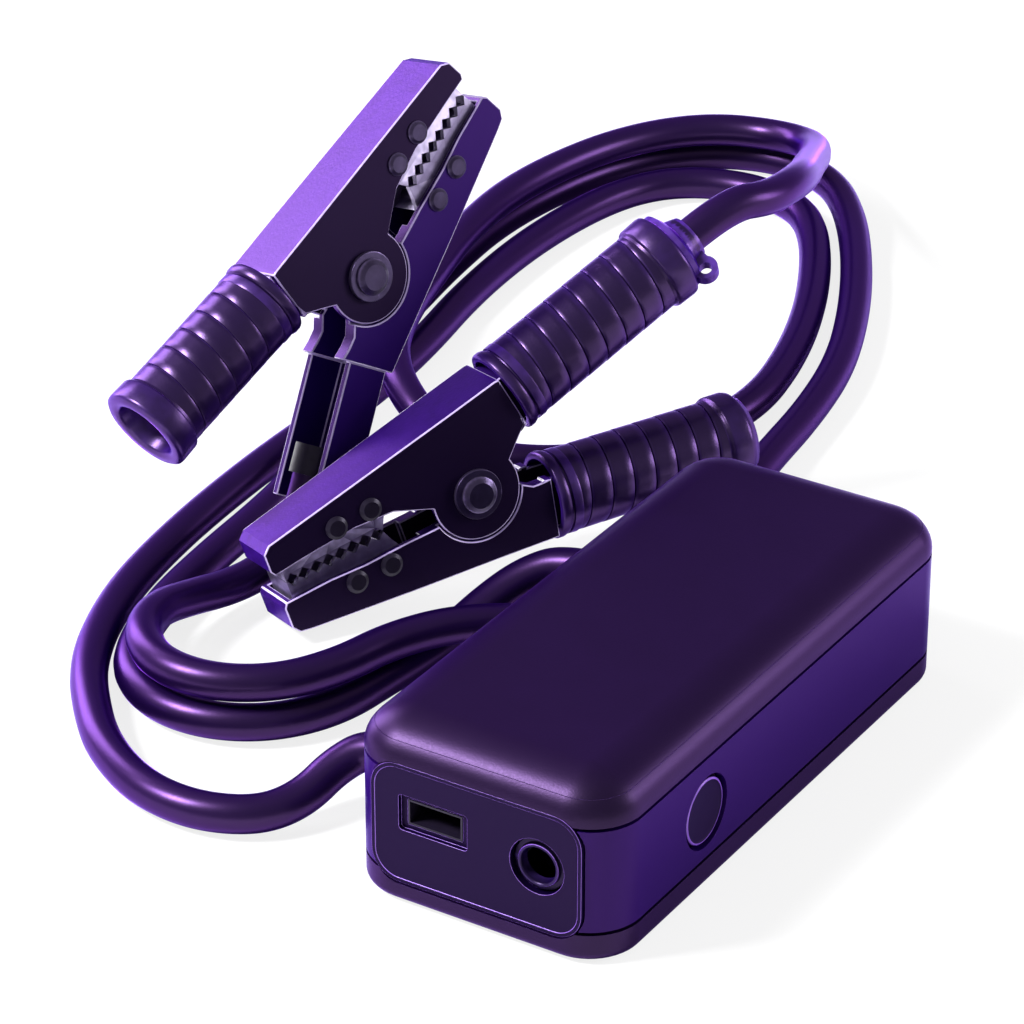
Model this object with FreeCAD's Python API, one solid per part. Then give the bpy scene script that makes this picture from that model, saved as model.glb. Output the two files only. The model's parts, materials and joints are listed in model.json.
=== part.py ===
import FreeCAD, Part

import math
import os

# Jump starter pack with two battery clamps on two silicone leads, in millimetres.
# Frame: origin at the centre of the pack's underside, ported end faces -Y,
# power button side faces +X, +Z is up.

# Pack, driving dimensions
PACK_W = 64.0
PACK_L = 146.0
PACK_H = 41.0
CORNER_R = 12.0
WALL = 2.2
SEAM_TOP_Z = 31.5
SEAM_LOW_Z = 7.0
SEAM_GAP = 0.8
CROWN_TALL = 12.4
FLOOR_T = 1.8
FOOT_T = 1.3
TRAY_EDGE_R = 2.4

# Front panel and its ports
PANEL_W = 50.2
PANEL_Z = (4.9, 33.2)
PANEL_R = 6.5
PANEL_T = 2.0
PANEL_FIT = 0.3
USB_X = -10.2
USB_Z = 21.9
USB_MOUTH = (16.5, 8.4)
USB_SHELL = (13.1, 5.9)
USB_DEPTH = 14.0
DC_X = 14.6
DC_Z = 19.9
DC_HOLE_R = 6.4
DC_BORE_R = 4.0
DC_DEPTH = 13.0

# Power button on the +X side
BUTTON_Y = -34.7
BUTTON_Z = 18.4
BUTTON_HOLE_R = 8.0
BUTTON_R = 7.5

# Leads and their glands on the -X side
LEAD_D = 8.5
GLAND_FRONT = (-42.0, 13.0)
GLAND_REAR = (42.0, 17.0)
GLAND_REACH = 6.0

# Clamp, in its own axes: X to the jaw tips, Y towards the upper lever, pivot at 0
CLAMP_HALF_W = 8.25
CHEEK_T = 2.0
JAW_TIP_X = 52.0
MOUTH_Y = 1.6
LUG_R = 11.0
TOOTH_COUNT = 8
TOOTH_PITCH = 3.2
TOOTH_DEPTH = 1.5
RIVET_R = 3.0
GRIP_R = 10.0
GRIP_LEN = 51.0
OPEN_GRIP_LEN = 43.0
CAP_LEN = 6.5
UPPER_ROOT = (-17.5, 16.0)
UPPER_ANGLE = 12.5
LOWER_ROOT = (-18.5, -12.4)
LOWER_ANGLE = 11.0
CHANNEL_ANGLE = 20.0
CHANNEL_LEN = 32.0

# Where the two clamps lie: pivot centre, plane normal, slope of the jaw axis
CLAMP_A_PIVOT = (-117.0, 56.6, 66.0)
CLAMP_A_NORMAL = (0.920, -0.312, 0.236)
CLAMP_A_SLOPE = 41.0
CLAMP_B_PIVOT = (-81.4, 49.0, 24.1)
CLAMP_B_NORMAL = (0.838, -0.508, 0.199)
CLAMP_B_SLOPE = 15.0

# Routes of the leads, from gland to clamp
LEAD_A_ROUTE = [
    (-38.0, 42.0, 17.0), (-48.5, 42.0, 17.0), (-56.5, 37.0, 13.6), (-61.5, 27.5, 9.0),
    (-64.0, 14.0, 4.8), (-66.5, -3.0, 4.3), (-68.5, -20.5, 4.3), (-76.0, -33.5, 4.3),
    (-88.6, -41.0, 4.3), (-103.4, -41.0, 4.3), (-116.0, -33.5, 4.3), (-123.5, -20.5, 4.3),
    (-128.5, -3.0, 4.3), (-131.5, 20.0, 4.3), (-133.5, 45.0, 4.3), (-134.5, 66.0, 7.0),
    (-140.5, 84.0, 14.5), (-152.5, 103.0, 14.5), (-159.5, 126.0, 6.5), (-165.5, 152.0, 4.3),
    (-171.0, 182.0, 4.3), (-174.5, 214.0, 4.3), (-170.5, 246.0, 4.3), (-161.5, 268.0, 4.3),
    (-148.5, 282.0, 4.3), (-130.5, 288.5, 4.3), (-111.5, 283.0, 4.3), (-96.0, 266.0, 4.3),
    (-80.0, 240.0, 4.3), (-66.0, 212.0, 4.3), (-55.0, 184.0, 4.3), (-49.0, 156.0, 4.3),
    (-46.0, 130.0, 4.3), (-41.5, 104.0, 4.3), (-38.5, 78.0, 4.3), (-38.0, 54.0, 4.3),
    (-40.0, 37.0, 5.0), (-47.0, 23.0, 11.0), (-58.0, 10.5, 13.4), (-66.0, -3.5, 13.4),
    (-69.5, -19.5, 13.4), (-77.0, -32.5, 13.4), (-89.5, -39.8, 13.4), (-103.5, -39.3, 13.4),
    (-114.5, -31.0, 13.4), (-119.5, -18.5, 12.4), (-119.3, -5.0, 9.0), (-117.5, 6.5, 6.4),
    (-115.3, 17.0, 6.4), (-113.7, 24.3, 9.6), (-113.2, 29.69, 15.6), (-113.58, 34.68, 23.67),
]
LEAD_B_ROUTE = [
    (-38.0, -42.0, 13.0), (-48.5, -42.0, 13.0), (-56.5, -47.5, 9.8), (-62.5, -57.0, 5.8),
    (-70.5, -66.0, 4.3), (-83.0, -71.0, 4.3), (-97.0, -67.5, 4.3), (-109.0, -58.0, 4.3),
    (-127.0, -35.0, 4.3), (-138.5, -8.0, 4.3), (-144.0, 20.0, 4.3), (-147.0, 50.0, 4.3),
    (-148.0, 80.0, 4.3), (-147.0, 108.0, 4.3), (-150.5, 138.0, 4.3), (-157.0, 170.0, 4.3),
    (-160.0, 204.0, 4.3), (-158.0, 235.0, 4.3), (-151.5, 254.0, 4.3), (-140.0, 263.6, 4.3),
    (-125.3, 266.8, 4.3), (-110.9, 262.6, 4.3), (-100.1, 252.2, 4.3), (-88.0, 232.0, 4.3),
    (-76.0, 206.0, 4.3), (-67.5, 180.0, 4.3), (-63.0, 156.0, 4.3), (-66.0, 134.0, 4.3),
    (-77.0, 112.0, 4.3), (-93.0, 97.5, 4.3), (-112.0, 92.5, 5.5), (-129.0, 98.0, 12.5),
    (-143.0, 112.0, 15.0), (-153.0, 133.0, 14.5), (-161.0, 158.0, 13.4), (-168.0, 184.0, 13.4),
    (-171.5, 214.0, 13.4), (-167.0, 245.0, 13.4), (-158.0, 266.0, 13.4), (-145.5, 279.0, 13.4),
    (-129.5, 284.0, 13.4), (-114.0, 278.0, 16.0), (-101.5, 255.0, 24.0), (-84.0, 213.0, 37.0),
    (-66.5, 176.0, 50.5), (-53.5, 155.5, 61.5), (-47.0, 142.0, 70.0), (-47.2, 130.0, 74.9),
    (-51.5, 118.4, 75.36), (-56.26, 108.33, 69.7),
]

V = FreeCAD.Vector
X_AXIS = V(1, 0, 0)
Y_AXIS = V(0, 1, 0)
Z_AXIS = V(0, 0, 1)


def save(node, shape):
    """Write one node's solids."""
    solids = shape.Solids
    out = solids[0] if len(solids) == 1 else Part.makeCompound(solids)
    out.exportStep("parts/%s.step" % node)
    print("%-26s solids %d volume %.0f" % (node, len(solids), out.Volume))


def box(x0, x1, y0, y1, z0, z1):
    return Part.makeBox(x1 - x0, y1 - y0, z1 - z0, V(x0, y0, z0))


def rod(radius, start, end):
    axis = V(*end) - V(*start)
    return Part.makeCylinder(radius, axis.Length, V(*start), axis)


def polygon_face(points):
    pts = [V(*p) for p in points]
    return Part.Face(Part.makePolygon(pts + [pts[0]]))


def rounded_wire(w, l, r, z):
    """Rounded rectangle about the Z axis, w along X and l along Y."""
    a, b = w / 2 - r, l / 2 - r
    k = r * math.sqrt(0.5)
    edges = []
    corners = [(a, b, 1, 1), (-a, b, -1, 1), (-a, -b, -1, -1), (a, -b, 1, -1)]
    for i, (cx, cy, sx, sy) in enumerate(corners):
        on_x = V(cx + sx * r, cy, z)
        on_y = V(cx, cy + sy * r, z)
        first, last = (on_x, on_y) if i % 2 == 0 else (on_y, on_x)
        edges.append(Part.Arc(first, V(cx + sx * k, cy + sy * k, z), last).toShape())
        nx, ny, tx, ty = corners[(i + 1) % 4]
        start = V(nx, ny + ty * r, z) if i % 2 == 0 else V(nx + tx * r, ny, z)
        edges.append(Part.LineSegment(last, start).toShape())
    return Part.Wire(edges)


def plan_prism(z0, z1, inset):
    wire = rounded_wire(PACK_W - 2 * inset, PACK_L - 2 * inset, CORNER_R - inset, z0)
    return Part.Face(wire).extrude(V(0, 0, z1 - z0))


def crowned_solid(z0, top, inset):
    """Pillow on the pack's plan: upright at z0, level at its top, with a wide soft shoulder."""
    squash = (top - z0) / CROWN_TALL
    block = plan_prism(0, CROWN_TALL, inset)
    edges = [e for e in block.Edges if e.BoundBox.ZMin > CROWN_TALL - 0.01]
    block = block.makeFillet(CORNER_R - inset - 0.1, edges)
    return block.transformGeometry(FreeCAD.Matrix(1, 0, 0, 0, 0, 1, 0, 0, 0, 0, squash, z0))


def panel_prism(w, z0, z1, r, y0, y1, x_mid=0.0):
    """Rounded rectangle in the XZ plane, extruded along Y."""
    wire = rounded_wire(w, z1 - z0, r, 0)
    solid = Part.Face(wire).extrude(V(0, 0, y1 - y0))
    solid.rotate(V(0, 0, 0), X_AXIS, 90)
    solid.translate(V(x_mid, y1, (z0 + z1) / 2))
    return solid


def make_pack():
    front_y = -PACK_L / 2
    inner_x = PACK_W / 2 - WALL
    cover_z = SEAM_TOP_Z + SEAM_GAP / 2
    band_z0 = SEAM_LOW_Z + SEAM_GAP / 2
    band_z1 = SEAM_TOP_Z - SEAM_GAP / 2
    tray_z1 = SEAM_LOW_Z - SEAM_GAP / 2
    pocket = panel_prism(PANEL_W + 2 * PANEL_FIT, PANEL_Z[0] - PANEL_FIT, PANEL_Z[1] + PANEL_FIT,
                         PANEL_R + PANEL_FIT, front_y - 1, front_y + 4.5)

    # top cover: crowned shell with a lip that drops inside the band
    lip_in = WALL + 0.2
    cover = crowned_solid(cover_z, PACK_H, 0.0)
    lip = plan_prism(band_z1 - 3, cover_z + 0.5, lip_in)
    lip = lip.cut(plan_prism(band_z1 - 4, cover_z + 1, lip_in + 1.4))
    hollow = crowned_solid(cover_z - 0.01, PACK_H - WALL, WALL + 1.6)
    cover = cover.cut(hollow).fuse(lip).cut(pocket)
    bosses = []
    for sx in (-1, 1):
        for sy in (-1, 1):
            bosses.append(rod(3.2, (sx * 24.6, sy * 62, 21), (sx * 24.6, sy * 62, PACK_H - 3.2)))
    for boss in bosses:
        cover = cover.fuse(boss.common(crowned_solid(cover_z, PACK_H - 1, 1.0).fuse(plan_prism(20, cover_z, lip_in))))
    for sx in (-1, 1):
        for sy in (-1, 1):
            cover = cover.cut(rod(1.1, (sx * 24.6, sy * 62, 20), (sx * 24.6, sy * 62, 30)))
    save("top_cover", cover.removeSplitter())

    # side band: a ring between the two seams, with the button and gland holes
    band = plan_prism(band_z0, band_z1, 0.0).cut(plan_prism(band_z0 - 1, band_z1 + 1, WALL))
    band = band.cut(pocket)
    band = band.cut(rod(BUTTON_HOLE_R, (inner_x - 4, BUTTON_Y, BUTTON_Z), (PACK_W, BUTTON_Y, BUTTON_Z)))
    for y, z in (GLAND_FRONT, GLAND_REAR):
        band = band.cut(rod(5.2, (-PACK_W, y, z), (-inner_x + 4, y, z)))
    save("side_band", band.removeSplitter())

    # bottom tray: floor with a rounded lower edge, an upstanding lip and the board posts
    tray = plan_prism(0, tray_z1, 0.0)
    low_edges = [e for e in tray.Edges if e.BoundBox.ZMax < 0.01]
    tray = tray.makeFillet(TRAY_EDGE_R, low_edges)
    rim = plan_prism(1.0, band_z0 + 3, lip_in).cut(plan_prism(0, band_z0 + 4, lip_in + 1.4))
    rim = rim.cut(rod(9.6, (0, BUTTON_Y, BUTTON_Z), (PACK_W, BUTTON_Y, BUTTON_Z)))
    rim = rim.cut(rod(7.0, (-PACK_W, GLAND_FRONT[0], GLAND_FRONT[1]), (0, GLAND_FRONT[0], GLAND_FRONT[1])))
    tray = tray.cut(plan_prism(FLOOR_T, tray_z1 + 1, WALL)).fuse(rim).cut(pocket)
    for sx in (-1, 1):
        for sy in (-1, 1):
            post = rod(3.2, (sx * 24.6, sy * 62, 1), (sx * 24.6, sy * 62, 20.6))
            tray = tray.fuse(post)
    for sx in (-1, 1):
        for sy in (-1, 1):
            tray = tray.cut(rod(1.5, (sx * 24.6, sy * 62, -1), (sx * 24.6, sy * 62, 21)))
            tray = tray.cut(rod(3.1, (sx * 24.6, sy * 62, -1), (sx * 24.6, sy * 62, 2.0)))
            tray = tray.cut(rod(5.1, (sx * 20, sy * 50, -1), (sx * 20, sy * 50, FOOT_T)))
    save("bottom_tray", tray.removeSplitter())

    screws = []
    feet = []
    for sx in (-1, 1):
        for sy in (-1, 1):
            head = rod(2.9, (sx * 24.6, sy * 62, 0.4), (sx * 24.6, sy * 62, 2.0))
            shank = rod(1.05, (sx * 24.6, sy * 62, 1), (sx * 24.6, sy * 62, 27))
            slot = box(sx * 24.6 - 0.4, sx * 24.6 + 0.4, sy * 62 - 2, sy * 62 + 2, 0, 1.1)
            screws.append(head.fuse(shank).cut(slot).removeSplitter())
            feet.append(rod(5.0, (sx * 20, sy * 50, 0), (sx * 20, sy * 50, FOOT_T)))
    save("case_screws", Part.makeCompound(screws))
    save("rubber_feet", Part.makeCompound(feet))

    # front panel with the stepped USB mouth and the countersunk socket hole
    panel = panel_prism(PANEL_W, PANEL_Z[0], PANEL_Z[1], PANEL_R, front_y + 0.3, front_y + 0.3 + PANEL_T)
    mouth = box(USB_X - USB_MOUTH[0] / 2, USB_X + USB_MOUTH[0] / 2, front_y - 1, front_y + 1.5,
                USB_Z - USB_MOUTH[1] / 2, USB_Z + USB_MOUTH[1] / 2)
    throat = box(USB_X - USB_SHELL[0] / 2 - 0.1, USB_X + USB_SHELL[0] / 2 + 0.1, front_y, front_y + 4,
                 USB_Z - USB_SHELL[1] / 2 - 0.1, USB_Z + USB_SHELL[1] / 2 + 0.1)
    panel = panel.cut(mouth).cut(throat)
    panel = panel.cut(rod(DC_HOLE_R, (DC_X, front_y - 1, DC_Z), (DC_X, front_y + 5, DC_Z)))
    save("front_panel", panel.removeSplitter())

    # USB-A socket: folded shell, tongue and four contacts
    y0 = front_y + 1.4
    hw, hh = USB_SHELL[0] / 2, USB_SHELL[1] / 2
    shell = box(USB_X - hw, USB_X + hw, y0, y0 + USB_DEPTH, USB_Z - hh, USB_Z + hh)
    shell = shell.cut(box(USB_X - hw + 0.45, USB_X + hw - 0.45, y0 - 1, y0 + USB_DEPTH - 0.5,
                          USB_Z - hh + 0.45, USB_Z + hh - 0.45))
    for sx in (-1, 1):
        leg_x = USB_X + sx * (hw - 0.4)
        shell = shell.fuse(box(leg_x - 0.4, leg_x + 0.4, y0 + 4, y0 + 6, USB_Z - hh - 0.6, USB_Z - hh + 1))
    save("usb_shell", shell.removeSplitter())
    tongue = box(USB_X - 5.6, USB_X + 5.6, y0 + 3.4, y0 + USB_DEPTH - 0.5, USB_Z + 0.1, USB_Z + 1.9)
    save("usb_tongue", tongue)
    contacts = []
    for i in range(4):
        cx = USB_X + (i - 1.5) * 2.5
        contacts.append(box(cx - 0.5, cx + 0.5, y0 + 3.8, y0 + USB_DEPTH - 0.8, USB_Z - 0.25, USB_Z + 0.1))
    save("usb_contacts", Part.makeCompound(contacts))

    # round charging socket: sleeve with a stepped mouth and a centre pin
    sleeve = rod(6.1, (DC_X, front_y + 0.9, DC_Z), (DC_X, front_y + 0.9 + DC_DEPTH, DC_Z))
    sleeve = sleeve.cut(rod(3.0, (DC_X, front_y, DC_Z), (DC_X, front_y + DC_DEPTH - 1, DC_Z)))
    sleeve = sleeve.cut(rod(DC_BORE_R, (DC_X, front_y, DC_Z), (DC_X, front_y + 7.2, DC_Z)))
    sleeve = sleeve.cut(rod(4.9, (DC_X, front_y, DC_Z), (DC_X, front_y + 1.7, DC_Z)))
    save("dc_socket_sleeve", sleeve.removeSplitter())
    pin = rod(1.2, (DC_X, front_y + 7.4, DC_Z), (DC_X, front_y + DC_DEPTH - 1, DC_Z))
    tip = [e for e in pin.Edges if e.BoundBox.YMax < front_y + 7.5]
    save("dc_socket_pin", pin.makeFillet(0.6, tip))

    # power button: cap, flange behind the wall and a stem on the switch
    face_x = PACK_W / 2 - 0.5
    cap = rod(BUTTON_R, (inner_x - 1.0, BUTTON_Y, BUTTON_Z), (face_x, BUTTON_Y, BUTTON_Z))
    cap = cap.makeFillet(0.7, [e for e in cap.Edges if e.BoundBox.XMin > face_x - 0.1])
    flange = rod(8.9, (inner_x - 1.3, BUTTON_Y, BUTTON_Z), (inner_x - 0.1, BUTTON_Y, BUTTON_Z))
    save("power_button", cap.fuse(flange).removeSplitter())
    switch_x = inner_x - 5.6
    body = box(switch_x, switch_x + 2.6, BUTTON_Y - 3, BUTTON_Y + 3, BUTTON_Z - 3, BUTTON_Z + 3)
    board = box(switch_x - 1.2, switch_x, BUTTON_Y - 5, BUTTON_Y + 5, FLOOR_T, BUTTON_Z + 5)
    save("power_switch", body.fuse(board).removeSplitter())

    # board, cells, their bracket and tabs
    board_z = USB_Z - hh - 1.6 - 0.6
    pcb = box(-21, 21, front_y + 4.6, front_y + 19, board_z, board_z + 1.6)
    pcb = pcb.cut(box(DC_X - 7, DC_X + 7, front_y, front_y + 16, board_z - 1, board_z + 3))
    save("circuit_board", pcb.removeSplitter())
    posts = []
    for sx in (-1, 1):
        posts.append(rod(1.8, (sx * 19, front_y + 17, FLOOR_T), (sx * 19, front_y + 17, board_z)))
    save("board_posts", Part.makeCompound(posts))
    bracket = box(-22.8, 22.8, -47, 58.4, FLOOR_T, FLOOR_T + 1.6)
    for y in (-47, 58.4):
        bracket = bracket.fuse(box(-20, 20, y, y + 1.4, FLOOR_T, 27))
    save("cell_bracket", bracket.removeSplitter())
    for i in range(3):
        z0 = FLOOR_T + 1.8 + i * 7.6
        cell = box(-22.4, 22.4, -45.4, 57.8, z0, z0 + 7.2)
        cell = cell.makeFillet(1.6, [e for e in cell.Edges if abs(e.tangentAt(0).y) > 0.9])
        save("battery_cell_%d" % (i + 1), cell)
    tabs = []
    for i in range(3):
        for sx in (-1, 1):
            z0 = FLOOR_T + 1.8 + i * 7.6 + 3.4
            tabs.append(box(sx * 21.2 - 1.0, sx * 21.2 + 1.0, -49.5, -45.4, z0, z0 + 0.4))
    save("cell_tabs", Part.makeCompound(tabs))

    # lead glands: flange on the wall, ribbed boot outside, nut inside
    for node, (y, z) in (("lead_gland_front", GLAND_FRONT), ("lead_gland_rear", GLAND_REAR)):
        outer = -PACK_W / 2
        profile = [(-inner_x + 3, 0), (-inner_x + 3, 6.4), (-inner_x + 0.3, 6.4), (-inner_x + 0.3, 5.0),
                   (outer - 0.3, 5.0), (outer - 0.3, 6.6), (outer - 1.7, 6.6), (outer - 2.2, 5.9),
                   (outer - 3.0, 5.9), (outer - 3.2, 5.4), (outer - 3.8, 5.4), (outer - 4.0, 5.7),
                   (outer - 4.8, 5.7), (outer - 5.0, 5.2), (outer - GLAND_REACH, 5.2), (outer - GLAND_REACH, 0)]
        gland = polygon_face([(x, y, z + r) for x, r in profile]).revolve(V(0, y, z), X_AXIS, 360)
        save(node, gland)


def clamp_matrix(pivot, normal, slope, mirrored):
    """Local clamp axes to the frame. The plane stands on its normal, the jaws rise by slope."""
    n = V(*normal).normalize()
    h = Z_AXIS.cross(n).normalize()
    v = n.cross(h)
    a = math.radians(slope)
    side = -1 if mirrored else 1
    x = h * (side * math.cos(a)) + v * (side * math.sin(a))
    y = h * (-math.sin(a)) + v * math.cos(a)
    z = x.cross(y)
    p = V(*pivot)
    return FreeCAD.Matrix(x.x, y.x, z.x, p.x, x.y, y.y, z.y, p.y, x.z, y.z, z.z, p.z, 0, 0, 0, 1)


def plate(points, half_w):
    face = polygon_face([(x, y, -half_w) for x, y in points])
    return face.extrude(V(0, 0, 2 * half_w))


def on_handle(solid, root, angle, sign):
    """Carry a piece made along -X from 0 onto a handle axis."""
    moved = solid.copy()
    moved.rotate(V(0, 0, 0), Z_AXIS, -sign * angle)
    moved.translate(V(root[0], root[1], 0))
    return moved


def handle_box(s0, s1, y0, y1, half_w):
    """Box along -X from s0 to s1, y0 to y1 across, centred in width."""
    return box(-s1, -s0, y0, y1, -half_w, half_w)


def wedge_limits():
    """Both levers narrow towards the jaw tips."""
    tip = JAW_TIP_X + 3
    corners = [(-90, -200, -8.6), (0, -200, -8.25), (tip, -200, -7.4), (tip, -200, 7.4), (0, -200, 8.25), (-90, -200, 8.6)]
    return polygon_face(corners).extrude(V(0, 400, 0))


def handle_core(open_side):
    """Spine inside a grip: a bulkhead that closes the lever and a U-channel behind it."""
    core = handle_box(-1.0, GRIP_LEN - 14, -6.0, 6.0, 6.0)
    core = core.fuse(handle_box(-3.4, -1.6, -6.6, 6.6, 8.2))
    core = core.fuse(handle_box(-2.0, -0.9, -6.0, 6.0, 6.0))
    if open_side < 0:
        return core.cut(handle_box(-9, GRIP_LEN, -8.0, 4.4, 4.4))
    return core.cut(handle_box(-9, GRIP_LEN, -4.4, 8.0, 4.4))


def upper_lever():
    outline = [(JAW_TIP_X - 0.8, 5.0), (JAW_TIP_X, 6.2), (JAW_TIP_X, 10.6), (JAW_TIP_X - 1.8, 12.3), (-13.2, 22.4),
               (-16.6, 22.4), (-16.6, 9.6), (-13.4, 6.6), (-10.4, 3.6), (-10.4, -3.6), (0, -10.8),
               (9.8, -4.6), (11.0, 1.4), (20, 5.4), (31, 6.4), (44, 5.6)]
    solid = plate(outline, CLAMP_HALF_W)
    lug = Part.makeCylinder(LUG_R, 2 * CLAMP_HALF_W, V(0, 0, -CLAMP_HALF_W))
    solid = solid.fuse(lug)
    inner = [(JAW_TIP_X - 2.4, -30), (JAW_TIP_X - 2.2, 9.8), (-13.4, 20.4), (-30, 20.4), (-30, -30)]
    solid = solid.cut(plate(inner, CLAMP_HALF_W - CHEEK_T)).common(wedge_limits())
    behind = on_handle(handle_box(-1.6, 90, -20, 20, 20), UPPER_ROOT, UPPER_ANGLE, 1)
    return solid.cut(behind).fuse(on_handle(handle_core(-1), UPPER_ROOT, UPPER_ANGLE, 1))


def lower_lever(bare_channel):
    angle = CHANNEL_ANGLE if bare_channel else LOWER_ANGLE
    outline = [(JAW_TIP_X, -8.4), (JAW_TIP_X, -3.4), (JAW_TIP_X - 0.8, -2.2), (40, -2.2), (31, -2.9), (20, -2.9),
               (12.5, -3.2), (-10.4, -3.0), (-13.5, -5.2), (-16.4, -5.6), (-24, -5.6), (-24, -20.4), (-15, -19.6),
               (0, -17.4), (20, -14.8), (JAW_TIP_X - 4, -10.8), (JAW_TIP_X - 1.4, -10.2)]
    solid = plate(outline, CLAMP_HALF_W)
    inner = [(JAW_TIP_X - 2.2, -7.4), (JAW_TIP_X - 2.4, 30), (16, 30), (16, -12.9)]
    solid = solid.cut(plate(inner, CLAMP_HALF_W - CHEEK_T))
    middle = [(17, 30), (17, -12.8), (0, -15.2), (-15, -17.4), (-30, -18.4), (-30, 30)]
    solid = solid.cut(plate(middle, 4.4)).common(wedge_limits())
    for z0 in (-10, 6.05):
        solid = solid.cut(Part.makeCylinder(LUG_R + 0.5, 3.95, V(0, 0, z0)))
    lug = Part.makeCylinder(9.4, 12.1, V(0, 0, -6.05)).cut(Part.makeCylinder(30, 8.8, V(0, 0, -4.4)))
    solid = solid.fuse(lug)
    behind = on_handle(handle_box(-1.6, 90, -20, 20, 20), LOWER_ROOT, angle, -1)
    solid = solid.cut(behind)
    if bare_channel:
        channel = handle_box(-1.6, CHANNEL_LEN, -6.0, 4.6, 8.4).cut(handle_box(-9, CHANNEL_LEN + 1, -4.2, 20, 6.6))
        link = handle_box(-3.4, -1.6, -6.6, 4.6, 8.2).cut(handle_box(-9, 9, -4.4, 20, 4.4))
        return solid.fuse(on_handle(channel.fuse(link), LOWER_ROOT, angle, -1))
    return solid.fuse(on_handle(handle_core(1), LOWER_ROOT, angle, -1))


def toothed_jaw(upper):
    """Folded metal jaw: a web and two cheeks with a row of teeth."""
    sign = 1 if upper else -1
    contact = MOUTH_Y + sign * 0.15
    tip_x = JAW_TIP_X - 3.0
    back = 8.2 if upper else 8.0
    points = [(tip_x, contact + sign * 6.0), (tip_x, contact)]
    for i in range(TOOTH_COUNT):
        x = tip_x - i * TOOTH_PITCH
        points.append((x - TOOTH_PITCH / 2, contact + sign * TOOTH_DEPTH))
        points.append((x - TOOTH_PITCH, contact))
    end_x = points[-1][0]
    points += [(end_x - 1.2, contact + sign * 2.6), (end_x - 3.2, contact + sign * 6.0), (end_x, contact + sign * back)]
    jaw = plate(points, CLAMP_HALF_W - CHEEK_T - 0.35)
    inside = [(tip_x - 1.4, contact - sign * 3), (tip_x - 1.4, contact + sign * 4.8),
              (end_x, contact + sign * (back - 1.4)), (end_x - 9, contact + sign * 6.0), (end_x - 9, contact - sign * 3)]
    return jaw.cut(plate(inside, CLAMP_HALF_W - CHEEK_T - 1.75))


def pin_with_heads(x, y, shank_r, half_len, head_r, head_t):
    """Rivet through both cheeks: shank and two low domed heads, by one revolve."""
    profile = [(0, -half_len - head_t), (head_r * 0.7, -half_len - head_t), (head_r, -half_len - head_t * 0.4),
               (head_r, -half_len), (shank_r, -half_len), (shank_r, half_len), (head_r, half_len),
               (head_r, half_len + head_t * 0.4), (head_r * 0.7, half_len + head_t), (0, half_len + head_t)]
    return polygon_face([(x + r, y, z) for r, z in profile]).revolve(V(x, y, 0), Z_AXIS, 360)


def grip_sleeve(length, mouth_r):
    """Wrapped rubber sleeve along -X from 0, with a collar and shallow steps."""
    inner = 8.7
    profile = [(1.3, inner), (1.3, 10.2), (0.8, 10.7), (-1.4, 10.7), (-2.2, GRIP_R)]
    turns = 7 if length > 45 else 6
    step = (length - 8.0) / turns
    for i in range(turns):
        x = -2.2 - (i + 1) * step
        profile += [(x + 0.9, GRIP_R), (x + 0.45, GRIP_R - 0.5), (x, GRIP_R)]
    end = -length
    profile += [(end + 5.0, 10.8), (end + 0.8, 10.8), (end, 10.2)]
    if mouth_r:
        profile += [(end, mouth_r + 0.5), (end + 0.6, mouth_r), (end + 4.0, mouth_r), (end + 5.0, inner)]
    else:
        profile += [(end - 1.4, 8.8), (end - 2.2, 6.0), (end - 2.2, 0), (end + 1.4, 0), (end + 1.4, inner)]
    return polygon_face([(x, r, 0) for x, r in profile]).revolve(V(0, 0, 0), X_AXIS, 360)


def lead_cap(length):
    """Tapered cap in a grip's end, with a small eye beside the lead."""
    end = -length
    profile = [(end + 3.0, 0), (end + 3.0, 8.3), (end - 0.05, 8.3), (end - 0.05, 9.9),
               (end - 1.4, 9.9), (end - 2.4, 8.2), (end - 3.0, 6.6), (end - 5.4, 5.8), (end - CAP_LEN, 5.4),
               (end - CAP_LEN, 0)]
    cap = polygon_face([(x, r, 0) for x, r in profile]).revolve(V(0, 0, 0), X_AXIS, 360)
    eye = rod(3.1, (end - 3.1, 9.4, -1.3), (end - 3.1, 9.4, 1.3))
    eye = eye.fuse(box(end - 5.6, end - 0.6, 4.5, 9.4, -1.3, 1.3))
    eye = eye.cut(rod(1.5, (end - 3.1, 9.8, -3), (end - 3.1, 9.8, 3)))
    return cap.fuse(eye).removeSplitter()


def lead_crimp(s_end):
    """Barrel that holds the lead's end on the floor of the bare channel."""
    barrel = rod(5.2, (-s_end + 7, 1.4, 0), (-s_end, 1.4, 0))
    foot = box(-s_end, -s_end + 7, -4.2, 1.4, -3.6, 3.6)
    return barrel.fuse(foot).removeSplitter()


def least_gap(course, other, radius, skip):
    """Least clear space between two tubes, or between turns of one, from points along them."""
    least = 1e9
    for i, p in enumerate(course):
        for q in other[i + skip:] if skip else other:
            least = min(least, p.distanceToPoint(q))
    return least - 2 * radius


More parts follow.
